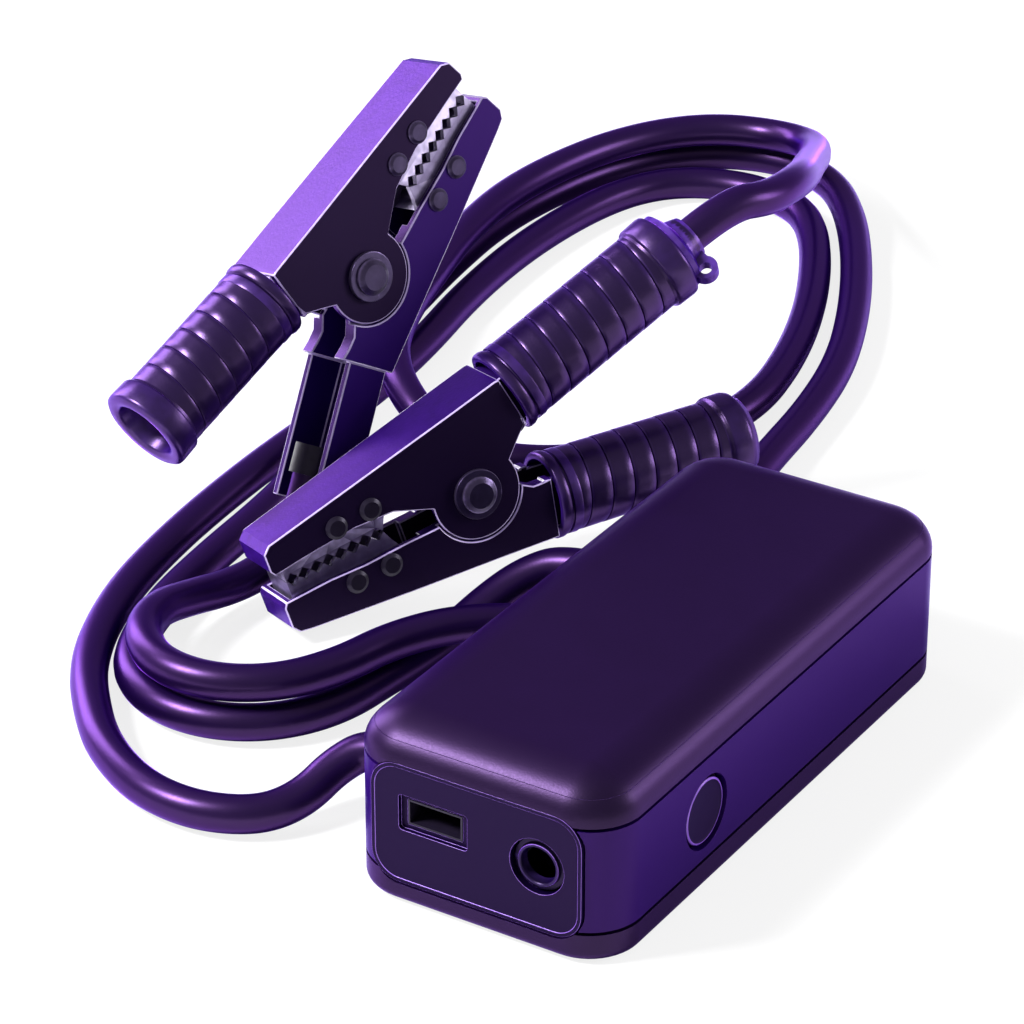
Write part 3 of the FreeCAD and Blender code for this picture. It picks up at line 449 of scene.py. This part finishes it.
def layLead(name, route, node):
    curve = bpy.data.curves.new(name, "CURVE")
    curve.dimensions = "3D"
    curve.resolution_u = 14
    curve.bevel_depth = leads["diameter"] / 2
    curve.bevel_resolution = leads["roundness"]
    curve.use_fill_caps = True
    spline = curve.splines.new("NURBS")
    spline.points.add(len(route) - 1)
    for point, place in zip(spline.points, route):
        point.co = (*place, 1)
    spline.order_u = 3
    spline.use_endpoint_u = True
    curve.materials.append(mats["leadSilicone"])
    lead = bpy.data.objects.new(name, curve)
    bpy.context.collection.objects.link(lead)
    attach(lead, packBody)
    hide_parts(node)


layLead("rearLead", rearRoute, "lead_a")
layLead("frontLead", frontRoute, "lead_b")
print("leads laid")


# modelling helpers: select by place, shape with operators, keep the place in the mesh;
# held keeps a bevel within the small facets beside it
def pick(obj):
    bpy.ops.object.select_all(action="DESELECT")
    obj.select_set(True)
    bpy.context.view_layer.objects.active = obj


def chooseEdges(obj, test):
    bpy.ops.object.mode_set(mode="EDIT")
    bpy.ops.mesh.select_mode(type="EDGE")
    bpy.ops.mesh.select_all(action="DESELECT")
    bpy.ops.object.mode_set(mode="OBJECT")
    verts = obj.data.vertices
    for edge in obj.data.edges:
        edge.select = test(verts[edge.vertices[0]].co / mm, verts[edge.vertices[1]].co / mm)
    bpy.ops.object.mode_set(mode="EDIT")


def chooseFaces(obj, test):
    bpy.ops.object.mode_set(mode="EDIT")
    bpy.ops.mesh.select_mode(type="FACE")
    bpy.ops.mesh.select_all(action="DESELECT")
    bpy.ops.object.mode_set(mode="OBJECT")
    for face in obj.data.polygons:
        face.select = test(face.center / mm, face.normal)
    bpy.ops.object.mode_set(mode="EDIT")


def bevelEdges(obj, test, width, segments, held=True):
    chooseEdges(obj, test)
    bpy.ops.mesh.bevel(offset=width * mm, segments=segments, affect="EDGES", clamp_overlap=held)
    bpy.ops.object.mode_set(mode="OBJECT")


def addBlock(name, xs, ys, zs):
    bpy.ops.object.select_all(action="DESELECT")
    middle = [sum(pair) / 2 * mm for pair in (xs, ys, zs)]
    bpy.ops.mesh.primitive_cube_add(size=1, location=middle)
    obj = bpy.context.active_object
    obj.name = obj.data.name = name
    obj.scale = [(pair[1] - pair[0]) * mm for pair in (xs, ys, zs)]
    bpy.ops.object.transform_apply(location=True, rotation=True, scale=True)
    return obj


def addRod(name, radius, start, end, sides=64):
    bpy.ops.object.select_all(action="DESELECT")
    a, b = Vector(start) * mm, Vector(end) * mm
    bpy.ops.mesh.primitive_cylinder_add(
        vertices=sides, radius=radius * mm, depth=(b - a).length, location=(a + b) / 2)
    obj = bpy.context.active_object
    obj.name = obj.data.name = name
    obj.rotation_mode = "QUATERNION"
    obj.rotation_quaternion = (b - a).to_track_quat("Z", "Y")
    bpy.ops.object.transform_apply(location=True, rotation=True, scale=True)
    return obj


def drawProfile(name, points):
    bpy.ops.object.select_all(action="DESELECT")
    x, r = points[0]
    bpy.ops.mesh.primitive_plane_add(size=0.0005, location=(x * mm, 0, r * mm))
    obj = bpy.context.active_object
    obj.name = obj.data.name = name
    bpy.ops.object.transform_apply(location=True, rotation=True, scale=True)
    bpy.ops.object.mode_set(mode="EDIT")
    bpy.ops.mesh.select_mode(type="VERT")
    bpy.ops.mesh.select_all(action="SELECT")
    bpy.ops.mesh.merge(type="CENTER")
    for nextX, nextR in points[1:]:
        step = ((nextX - x) * mm, 0, (nextR - r) * mm)
        bpy.ops.mesh.extrude_region_move(TRANSFORM_OT_translate={"value": step})
        x, r = nextX, nextR
    bpy.ops.object.mode_set(mode="OBJECT")
    return obj


def tidyShell(obj):
    pick(obj)
    bpy.ops.object.mode_set(mode="EDIT")
    bpy.ops.mesh.select_all(action="SELECT")
    bpy.ops.mesh.remove_doubles(threshold=0.000004)
    bpy.ops.mesh.normals_make_consistent(inside=False)
    bpy.ops.object.mode_set(mode="OBJECT")


def turnProfile(obj, steps=56):
    pick(obj)
    bpy.ops.object.mode_set(mode="EDIT")
    bpy.ops.mesh.select_all(action="SELECT")
    bpy.ops.mesh.spin(steps=steps, angle=2 * math.pi, center=(0, 0, 0), axis=(1, 0, 0))
    bpy.ops.object.mode_set(mode="OBJECT")
    tidyShell(obj)


def applyModifier(obj, kind, **values):
    pick(obj)
    mod = obj.modifiers.new("step", kind)
    for key, value in values.items():
        setattr(mod, key, value)
    bpy.ops.object.modifier_apply(modifier=mod.name)


def cutWith(obj, cutters):
    for cutter in cutters:
        applyModifier(obj, "BOOLEAN", operation="DIFFERENCE", solver="EXACT", object=cutter)


def softenEdges(obj, width, segments=2, angle=35, finishSlot=-1, held=True):
    applyModifier(obj, "BEVEL", width=width * mm, segments=segments, limit_method="ANGLE",
                  angle_limit=math.radians(angle), material=finishSlot, use_clamp_overlap=held,
                  miter_outer="MITER_ARC" if held else "MITER_SHARP")


def flattenShading(obj, angle=32):
    smoothBy(obj, angle)
    applyModifier(obj, "WEIGHTED_NORMAL", keep_sharp=True, weight=100)


def smoothBy(obj, angle=35):
    pick(obj)
    bpy.ops.object.shade_smooth_by_angle(angle=math.radians(angle))


def seat(obj, matrix):
    pick(obj)
    obj.matrix_world = matrix
    bpy.ops.object.transform_apply(location=True, rotation=True, scale=True)


def bodyOf(node):
    return nodes[node]["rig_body"]


def takeSlots(obj):
    # two slots before a bevel, so that its faces can take the second: a pale finish that paints a highlight
    # line along the edge
    obj.data.materials.clear()
    for finish in ("panel", "seamPaintedHighlight"):
        obj.data.materials.append(mats[finish])


def keep(obj, finish, body, replaced=()):
    if finish and len(obj.data.materials) > 1:
        obj.data.materials[0] = mats[finish]
    elif finish:
        obj.data.materials.clear()
        obj.data.materials.append(mats[finish])
    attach(obj, body)
    if replaced:
        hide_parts(*replaced)
    return obj


# pack shell: soft-shouldered cover, side band and tray, parted by two seams; their softened edges take a pale
# finish, a painted highlight line
pack = {
    "halfWidth": 32.0, "halfLength": 73.0, "corner": 12.0, "wall": 2.2, "seamEdge": 0.35,
    "coverLow": 31.9, "coverTop": 41.0, "crownTall": 12.4, "coverHollow": 5.5,
    "bandLow": 7.4, "bandTop": 31.1, "trayTop": 6.6, "trayEdge": 2.4, "trayHollow": 4.8,
    "pocket": {"xs": (-25.4, 25.4), "ys": (-76, -68.5), "zs": (4.6, 33.5), "corner": 6.8},
    "rim": 0.7, "rimSide": 23.1, "rimTop": 33.6, "rimFront": -71,
    "button": (-34.7, 18.4), "buttonHole": 8.4,
    "footAt": (20, 50), "footRadius": 5.1, "footDepth": 1.3,
    "screwAt": (24.6, 62), "screwRadius": 3.1, "screwDepth": 2.0,
}


def plainPrism(name, low, high):
    w, l = pack["halfWidth"], pack["halfLength"]
    obj = addBlock(name, (-w, w), (-l, l), (low, high))
    bevelEdges(obj, lambda a, b: abs(a.z - b.z) > 1, pack["corner"], 12)
    return obj


def pocketCutter():
    facts = pack["pocket"]
    cutter = addBlock("pocketCutter", facts["xs"], facts["ys"], facts["zs"])
    bevelEdges(cutter, lambda a, b: abs(a.y - b.y) > 1, facts["corner"], 8)
    return cutter


# whether an edge lies on the panel pocket's outline in the cover's front
def onRim(a, b):
    return (max(a.y, b.y) < pack["rimFront"] and max(abs(a.x), abs(b.x)) < pack["rimSide"]
            and max(a.z, b.z) < pack["rimTop"])


def makeCover(pocket):
    low, top, tall = pack["coverLow"], pack["coverTop"], pack["crownTall"]
    cover = plainPrism("softCover", low, low + tall)
    bevelEdges(cover, lambda a, b: min(a.z, b.z) > low + tall - 0.01, pack["corner"] - 0.1, 12)
    bpy.ops.object.mode_set(mode="EDIT")
    bpy.ops.mesh.select_all(action="SELECT")
    bpy.ops.transform.resize(value=(1, 1, (top - low) / tall), center_override=(0, 0, low * mm))
    bpy.ops.object.mode_set(mode="OBJECT")
    chooseFaces(cover, lambda c, n: n.z < -0.9)
    bpy.ops.mesh.inset(thickness=pack["wall"] * mm, depth=0)
    bpy.ops.mesh.extrude_region_move(TRANSFORM_OT_translate={"value": (0, 0, pack["coverHollow"] * mm)})
    bpy.ops.object.mode_set(mode="OBJECT")
    cutWith(cover, [pocket])
    bevelEdges(cover, onRim, pack["rim"], 3)
    takeSlots(cover)
    softenEdges(cover, pack["seamEdge"], 2, 35, 1)
    flattenShading(cover, 35)
    keep(cover, "shell", packBody, ["top_cover"])


def makeBand(pocket):
    band = plainPrism("sideBand", pack["bandLow"], pack["bandTop"])
    chooseFaces(band, lambda c, n: abs(n.z) > 0.9)
    bpy.ops.mesh.inset(thickness=pack["wall"] * mm, depth=0, use_individual=True)
    bpy.ops.mesh.delete(type="FACE")
    bpy.ops.mesh.select_mode(type="EDGE")
    bpy.ops.mesh.select_all(action="DESELECT")
    bpy.ops.mesh.select_non_manifold()
    bpy.ops.mesh.bridge_edge_loops()
    bpy.ops.object.mode_set(mode="OBJECT")
    tidyShell(band)
    buttonY, buttonZ = pack["button"]
    hole = addRod("buttonCutter", pack["buttonHole"], (26, buttonY, buttonZ), (40, buttonY, buttonZ), 72)
    cutWith(band, [pocket, hole])
    takeSlots(band)
    softenEdges(band, pack["seamEdge"], 3, 35, 1)
    flattenShading(band, 35)
    keep(band, "band", packBody, ["side_band"])
    bpy.data.objects.remove(hole)


def makeTray(pocket):
    tray = plainPrism("lowerTray", 0, pack["trayTop"])
    bevelEdges(tray, lambda a, b: max(a.z, b.z) < 0.01, pack["trayEdge"], 6)
    chooseFaces(tray, lambda c, n: n.z > 0.9 and c.z > 6)
    bpy.ops.mesh.inset(thickness=pack["wall"] * mm, depth=0)
    bpy.ops.mesh.extrude_region_move(TRANSFORM_OT_translate={"value": (0, 0, -pack["trayHollow"] * mm)})
    bpy.ops.object.mode_set(mode="OBJECT")
    cutters = [pocket]
    for sx in (-1, 1):
        for sy in (-1, 1):
            for part, sides in (("foot", 48), ("screw", 40)):
                x, y = pack[part + "At"]
                cutters.append(addRod(part + "Cutter", pack[part + "Radius"], (sx * x, sy * y, -1),
                                      (sx * x, sy * y, pack[part + "Depth"]), sides))
    cutWith(tray, cutters)
    takeSlots(tray)
    softenEdges(tray, pack["seamEdge"], 2, 35, 1)
    flattenShading(tray, 35)
    keep(tray, "shell", packBody, ["bottom_tray"])
    for cutter in cutters:
        bpy.data.objects.remove(cutter)


panelPocket = pocketCutter()
makeCover(panelPocket)
makeBand(panelPocket)
makeTray(panelPocket)
print("pack shell made")


# front panel with its stepped USB mouth and round charging hole
panel = {
    "xs": (-25.1, 25.1), "zs": (4.9, 33.2), "front": -72.7, "thick": 2.0, "corner": 6.5,
    "rim": 0.9, "rimDepth": 0.12, "edge": 0.28,
    "usb": (-10.2, 21.9), "usbMouth": (16.5, 8.4), "mouthDepth": 1.2, "mouthCorner": 0.8,
    "usbThroat": (13.3, 6.1), "throatCorner": 0.4, "charge": (14.6, 19.9), "chargeHole": 6.4,
}


def usbCutter(name, size, depth):
    x, z = panel["usb"]
    wide, high = size
    return addBlock(name, (x - wide / 2, x + wide / 2), (panel["front"] - 2, panel["front"] + depth),
                    (z - high / 2, z + high / 2))


def makePanel():
    y0, y1 = panel["front"], panel["front"] + panel["thick"]
    face = addBlock("portPanel", panel["xs"], (y0, y1), panel["zs"])
    bevelEdges(face, lambda a, b: abs(a.y - b.y) > 1, panel["corner"], 10)
    chooseFaces(face, lambda c, n: n.y < -0.9)
    bpy.ops.mesh.inset(thickness=panel["rim"] * mm, depth=0)
    bpy.ops.mesh.extrude_region_move(TRANSFORM_OT_translate={"value": (0, panel["rimDepth"] * mm, 0)})
    bpy.ops.object.mode_set(mode="OBJECT")
    mouth = usbCutter("mouthCutter", panel["usbMouth"], panel["mouthDepth"])
    bevelEdges(mouth, lambda a, b: abs(a.y - b.y) > 1, panel["mouthCorner"], 4)
    throat = usbCutter("throatCutter", panel["usbThroat"], 4)
    bevelEdges(throat, lambda a, b: abs(a.y - b.y) > 1, panel["throatCorner"], 3)
    cx, cz = panel["charge"]
    hole = addRod("chargeCutter", panel["chargeHole"], (cx, y0 - 2, cz), (cx, y0 + 4, cz), 72)
    cutWith(face, [mouth, throat, hole])
    takeSlots(face)
    softenEdges(face, panel["edge"], 3, 35, 1)
    flattenShading(face, 35)
    keep(face, "panel", packBody, ["front_panel"])
    for cutter in (mouth, throat, hole):
        bpy.data.objects.remove(cutter)


makePanel()
print("front panel made")

# turned fittings: charging sleeve with an inner ring, button cap with a raised rim; each has a thin pale band
# painted on as a highlight line
fittings = {
    "sleeveTurned": {
        "node": "dc_socket_sleeve", "place": (14.6, -72.2, 19.9), "axis": (0, -1, 0),
        "finish": "socketPlastic", "slot": "socket_plastic", "lip": (4.55, 4.84),
        "profile": [(-2.5, 4.0), (-2.5, 6.1), (-1.3, 6.1), (-1.1, 5.95), (-1.05, 5.0), (-0.9, 4.85),
                    (-0.2, 4.8), (-0.05, 4.7), (-0.02, 4.3), (-0.15, 4.12), (-0.5, 4.02), (-2.5, 4.0)],
    },
    "capTurned": {
        "node": "power_button", "place": (31.6, -34.7, 18.4), "axis": (1, 0, 0),
        "finish": "panel", "slot": "panel", "lip": (6.8, 7.4),
        "profile": [(-1.4, 0.02), (-1.4, 7.45), (-0.5, 7.45), (-0.2, 7.38), (0.0, 7.15), (0.02, 6.9),
                    (-0.12, 6.65), (-0.2, 6.3), (-0.2, 0.02)],
    },
}


def makeFitting(name):
    facts = fittings[name]
    obj = drawProfile(name, facts["profile"])
    turnProfile(obj, 64)
    for finish in (facts["finish"], "seamPaintedHighlight"):
        obj.data.materials.append(mats[finish])
    # a thin band of outward faces takes the pale finish, a painted highlight line
    lipFrom, lipTo = facts["lip"]
    for face in obj.data.polygons:
        reach = math.hypot(face.center.y, face.center.z) / mm
        face.material_index = 1 if lipFrom < reach < lipTo and face.normal.x > 0.25 else 0
    smoothBy(obj, 40)
    turn = Vector(facts["axis"]).to_track_quat("X", "Z").to_matrix().to_4x4()
    seat(obj, Matrix.Translation(Vector(facts["place"]) * mm) @ turn)
    keep(obj, facts["finish"], bodyOf(facts["node"]), [facts["node"]])


for fittingName in fittings:
    makeFitting(fittingName)
print("fittings turned")


# dressed copy of a carried-over piece: merged, its flats made whole, its corners rounded
def dressCopy(node, name, width, segments=2, angle=32):
    mesh = nodes[node].data.copy()
    obj = bpy.data.objects.new(name, mesh)
    bpy.context.collection.objects.link(obj)
    pick(obj)
    bpy.ops.mesh.customdata_custom_splitnormals_clear()
    bpy.ops.object.mode_set(mode="EDIT")
    bpy.ops.mesh.select_mode(type="VERT")
    bpy.ops.mesh.select_all(action="SELECT")
    bpy.ops.mesh.remove_doubles(threshold=0.000004)
    bpy.ops.mesh.dissolve_limited(angle_limit=math.radians(0.6))
    bpy.ops.object.mode_set(mode="OBJECT")
    if width:
        softenEdges(obj, width, segments, angle)
    flattenShading(obj)
    return obj


# clamp axes: x to the jaw tips, y to the upper lever, z along the rivet
clamps = {
    "clamp_a": {"pivot": (-117.0, 56.6, 66.0), "normal": (0.920, -0.312, 0.236), "slope": 41.0,
                "side": 1, "bare": True},
    "clamp_b": {"pivot": (-81.4, 49.0, 24.1), "normal": (0.838, -0.508, 0.199), "slope": 15.0,
                "side": -1, "bare": False},
}
# where each handle starts in those axes, and its slope
handles = {"upper": {"root": (-17.5, 16.0), "angle": -12.5}, "lower": {"root": (-18.5, -12.4), "angle": 11.0}}


def clampMatrix(facts):
    n = Vector(facts["normal"]).normalized()
    h = Vector((0, 0, 1)).cross(n).normalized()
    v = n.cross(h)
    a = math.radians(facts["slope"])
    x = h * (facts["side"] * math.cos(a)) + v * (facts["side"] * math.sin(a))
    y = v * math.cos(a) - h * math.sin(a)
    z = x.cross(y)
    return Matrix.Translation(Vector(facts["pivot"]) * mm) @ Matrix((x, y, z)).transposed().to_4x4()


def handleMatrix(clamp, half):
    x, y = handles[half]["root"]
    turn = Matrix.Rotation(math.radians(handles[half]["angle"]), 4, "Z")
    return clampMatrix(clamps[clamp]) @ Matrix.Translation((x * mm, y * mm, 0)) @ turn


# lever skins: leathery outer webs, near-black cheeks (violet on the bare lower lever, painted as if lit),
# edges painted pale as highlight lines
levers = {"edge": 0.3, "segments": 2, "webNormal": 0.6, "tipRound": 1.6, "tipFrom": 40.0}


def dressLever(clamp, half):
    node = clamp + "_" + half + "_lever"
    obj = dressCopy(node, clamp + "_" + half + "_skin", 0)
    inward = clampMatrix(clamps[clamp]).inverted()
    axes = inward.to_3x3()

    def atTip(a, b):
        p, q = inward @ (a * mm) / mm, inward @ (b * mm) / mm
        return abs(p.z - q.z) > 15 and min(p.x, q.x) > levers["tipFrom"]

    bevelEdges(obj, atTip, levers["tipRound"], 5, held=False)
    obj.data.materials.clear()
    # the bare lower lever's cheeks take the brighter copy, painted as if lit
    cheek = "leverCheekPaintedLit" if half == "lower" and clamps[clamp]["bare"] else "leverCheek"
    for finish in (cheek, "leverFace", "leverEdgePaintedHighlight"):
        obj.data.materials.append(mats[finish])
    for face in obj.data.polygons:
        across = abs((axes @ face.normal).z)
        face.material_index = 0 if across > levers["webNormal"] else 1
    # the bevel faces take the third slot, the pale finish that paints a highlight line
    softenEdges(obj, levers["edge"], levers["segments"], 50, 2, False)
    flattenShading(obj)
    keep(obj, None, bodyOf(node), [node])


for clampName in clamps:
    for halfName in ("upper", "lower"):
        dressLever(clampName, halfName)
print("levers dressed")


# jaws, washers and small metal pieces with eased corners
smallEdges = {"upper_jaw": 0.22, "lower_jaw": 0.22, "pivot_washers": 0.25}
for clampName in clamps:
    for part, width in smallEdges.items():
        node = clampName + "_" + part
        finish, slot = ("jawMetal", "jaw_metal") if "jaw" in part else ("rivetSteel", "bright_steel")
        keep(dressCopy(node, node + "_worn", width), finish, bodyOf(node), [node])
print("jaws and washers dressed")


# lead cap turned about its handle, so that its eye hangs at the lower right
leadCap = {"edge": 0.25, "turn": -125.0}


def turnCap(node):
    obj = dressCopy(node, node + "_turned", leadCap["edge"])
    axis = handleMatrix("clamp_b", "upper")
    turn = Matrix.Rotation(math.radians(leadCap["turn"]), 4, "X")
    obj.data.transform(axis @ turn @ axis.inverted())
    keep(obj, "gripRubber", bodyOf(node), [node])


turnCap("clamp_b_lead_cap")
print("lead cap turned")


def makeSpring(clamp):
    node = clamp + "_torsion_spring"
    obj = dressCopy(node, node + "_wire", 0)
    obj.data.materials.clear()
    obj.data.materials.append(mats["springSteel"])
    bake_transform(obj)
    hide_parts(node)


for clampName in clamps:
    makeSpring(clampName)
print("springs blended")

# grips: tape wound round the handle, a collar at the lever and a ring at the end
grip = {
    "radius": 10.0, "pitch": 5.7, "groove": 0.38, "collar": 10.5, "ring": 10.85, "bore": 8.9, "steps": 56,
    "wrapFrom": -4.4, "wrapShort": 6.0,
}


def makeWrap(name, start, end):
    r, pitch, deep = grip["radius"], grip["pitch"], grip["groove"]
    x = start + pitch
    turns = int((start - end) / pitch) + 3
    wrap = drawProfile(name, [
        (x, r - deep), (x - 0.08, r - 0.06), (x - 0.3, r + 0.03), (x - 1.0, r + 0.03),
        (x - pitch * 0.6, r), (x - pitch + 0.32, r - 0.03), (x - pitch + 0.2, r - 0.12),
        (x - pitch + 0.14, r - deep), (x - pitch, r - deep)])
    applyModifier(wrap, "SCREW", axis="X", angle=2 * math.pi, screw_offset=-pitch * mm,
                  iterations=turns, steps=grip["steps"], render_steps=grip["steps"],
                  use_merge_vertices=True, merge_threshold=0.000002)
    for place, normal in ((start, (1, 0, 0)), (end, (-1, 0, 0))):
        bpy.ops.object.mode_set(mode="EDIT")
        bpy.ops.mesh.select_all(action="SELECT")
        bpy.ops.mesh.bisect(plane_co=(place * mm, 0, 0), plane_no=normal, clear_outer=True)
        bpy.ops.object.mode_set(mode="OBJECT")
    tidyShell(wrap)
    return wrap


def collarProfile():
    c, r, bore = grip["collar"], grip["radius"], grip["bore"]
    return [(0.7, bore), (0.75, c - 0.7), (0.5, c - 0.15), (0.1, c), (-0.9, c), (-1.6, c - 0.25),
            (-1.9, r + 0.1), (-2.2, r - 0.35), (-2.45, r - 0.3), (-2.6, r + 0.15), (-4.4, r + 0.2),
            (-4.8, r + 0.05), (-4.9, r - 0.5), (-4.9, bore), (0.7, bore)]


# open end ring with a mouth of that radius
def openRing(e, mouth):
    g, r, bore = grip["ring"], grip["radius"], grip["bore"]
    return [(e + 7.0, bore), (e + 6.9, r), (e + 6.2, r + 0.2), (e + 6.0, g - 0.2), (e + 5.6, g),
            (e + 1.2, g + 0.15), (e + 0.5, g), (e, g - 0.7), (e - 0.02, mouth + 1.4),
            (e + 0.15, mouth + 0.6), (e + 0.8, mouth), (e + 9.0, mouth), (e + 9.2, bore), (e + 7.0, bore)]


def closedRing(e):
    g, r, bore = grip["ring"], grip["radius"], grip["bore"]
    return [(e + 7.0, bore), (e + 6.9, r), (e + 6.2, r + 0.2), (e + 6.0, g - 0.25), (e + 5.6, g - 0.05),
            (e + 1.6, g), (e + 0.6, g - 0.3), (e, g - 1.0), (e - 1.2, 9.0), (e - 2.0, 7.0), (e - 2.2, 4.0),
            (e - 2.2, 0.02), (e + 2.0, 0.02), (e + 2.0, bore), (e + 7.0, bore)]


def makeGrip(clamp, half, length, mouth):
    node = clamp + "_" + half + "_grip"
    wrap = makeWrap(node + "_wrap", grip["wrapFrom"], grip["wrapShort"] - length)
    root = drawProfile(node + "_collar", collarProfile())
    turnProfile(root)
    end = drawProfile(node + "_end", openRing(-length, mouth) if mouth else closedRing(-length))
    turnProfile(end)
    for obj in (wrap, root, end):
        smoothBy(obj, 50)
        seat(obj, handleMatrix(clamp, half))
        keep(obj, "gripRubber", bodyOf(node), [node])


makeGrip("clamp_a", "upper", 43.0, 7.2)
makeGrip("clamp_b", "upper", 51.0, 8.4)
makeGrip("clamp_b", "lower", 51.0, 0)
print("grips wound")


# floor, backdrop and soft studio light
studio = {
    "floor": (0.88, 0.88, 0.89), "floorSize": 6, "floorLow": -0.0006,
    "worldFill": 0.42, "floorGlow": 0.82,
}
lamps = {
    "keyLamp": {"place": (-0.75, -0.72, 1.1), "aim": (-0.02, -0.03, 0.04),
                "size": (0.35, 0.35), "power": 56.0},
    "leftLamp": {"place": (-1.3, 0.3, 0.5), "aim": (-0.08, 0.05, 0.05),
                 "size": (0.5, 0.9), "power": 20.0},
    "rightLamp": {"place": (0.95, 0.8, 0.45), "aim": (0.0, 0.05, 0.03),
                  "size": (0.5, 0.5), "power": 12.0},
}


def makeFloor():
    bpy.ops.object.select_all(action="DESELECT")
    bpy.ops.mesh.primitive_plane_add(size=studio["floorSize"], location=(0, 0, studio["floorLow"]))
    floor = bpy.context.active_object
    floor.name = "studioFloor"
    mat = bpy.data.materials.new("studioFloor")
    mat.use_nodes = True
    tree = mat.node_tree
    shader = tree.nodes["Principled BSDF"]
    shader.inputs["Base Color"].default_value = studio["floor"] + (1,)
    shader.inputs["Roughness"].default_value = 0.9
    shader.inputs["Specular IOR Level"].default_value = 0.1
    path = tree.nodes.new("ShaderNodeLightPath")
    glow = addNode(tree, "ShaderNodeEmission", {"Color": (1, 1, 1, 1), "Strength": 1.0})
    share = addNode(tree, "ShaderNodeMath", {1: studio["floorGlow"]}, operation="MULTIPLY")
    mix = tree.nodes.new("ShaderNodeMixShader")
    link = tree.links.new
    link(path.outputs["Is Camera Ray"], share.inputs[0])
    link(share.outputs["Value"], mix.inputs["Fac"])
    link(shader.outputs["BSDF"], mix.inputs[1])
    link(glow.outputs["Emission"], mix.inputs[2])
    link(mix.outputs["Shader"], tree.nodes["Material Output"].inputs["Surface"])
    floor.data.materials.append(mat)


def makeWorld():
    world = bpy.data.worlds.new("studioWorld")
    bpy.context.scene.world = world
    world.use_nodes = True
    tree = world.node_tree
    fill = tree.nodes["Background"]
    fill.inputs["Color"].default_value = (1, 1, 1, 1)
    fill.inputs["Strength"].default_value = studio["worldFill"]
    seen = addNode(tree, "ShaderNodeBackground", {"Color": (1, 1, 1, 1), "Strength": 1.0})
    path = tree.nodes.new("ShaderNodeLightPath")
    either = addNode(tree, "ShaderNodeMath", operation="MAXIMUM")
    mix = tree.nodes.new("ShaderNodeMixShader")
    link = tree.links.new
    link(path.outputs["Is Camera Ray"], either.inputs[0])
    link(path.outputs["Is Transmission Ray"], either.inputs[1])
    link(either.outputs["Value"], mix.inputs["Fac"])
    link(fill.outputs["Background"], mix.inputs[1])
    link(seen.outputs["Background"], mix.inputs[2])
    link(mix.outputs["Shader"], tree.nodes["World Output"].inputs["Surface"])


def addLamp(name, place, aim, size, power):
    data = bpy.data.lights.new(name, "AREA")
    data.shape = "RECTANGLE"
    data.size, data.size_y = size
    data.energy = power
    lamp = bpy.data.objects.new(name, data)
    bpy.context.collection.objects.link(lamp)
    lamp.location = place
    lamp.rotation_mode = "QUATERNION"
    lamp.rotation_quaternion = (Vector(aim) - Vector(place)).to_track_quat("-Z", "Y")


makeFloor()
makeWorld()
for lampName, lampFacts in lamps.items():
    addLamp(lampName, **lampFacts)
bpy.context.scene.view_settings.view_transform = "Standard"
print("studio lit")
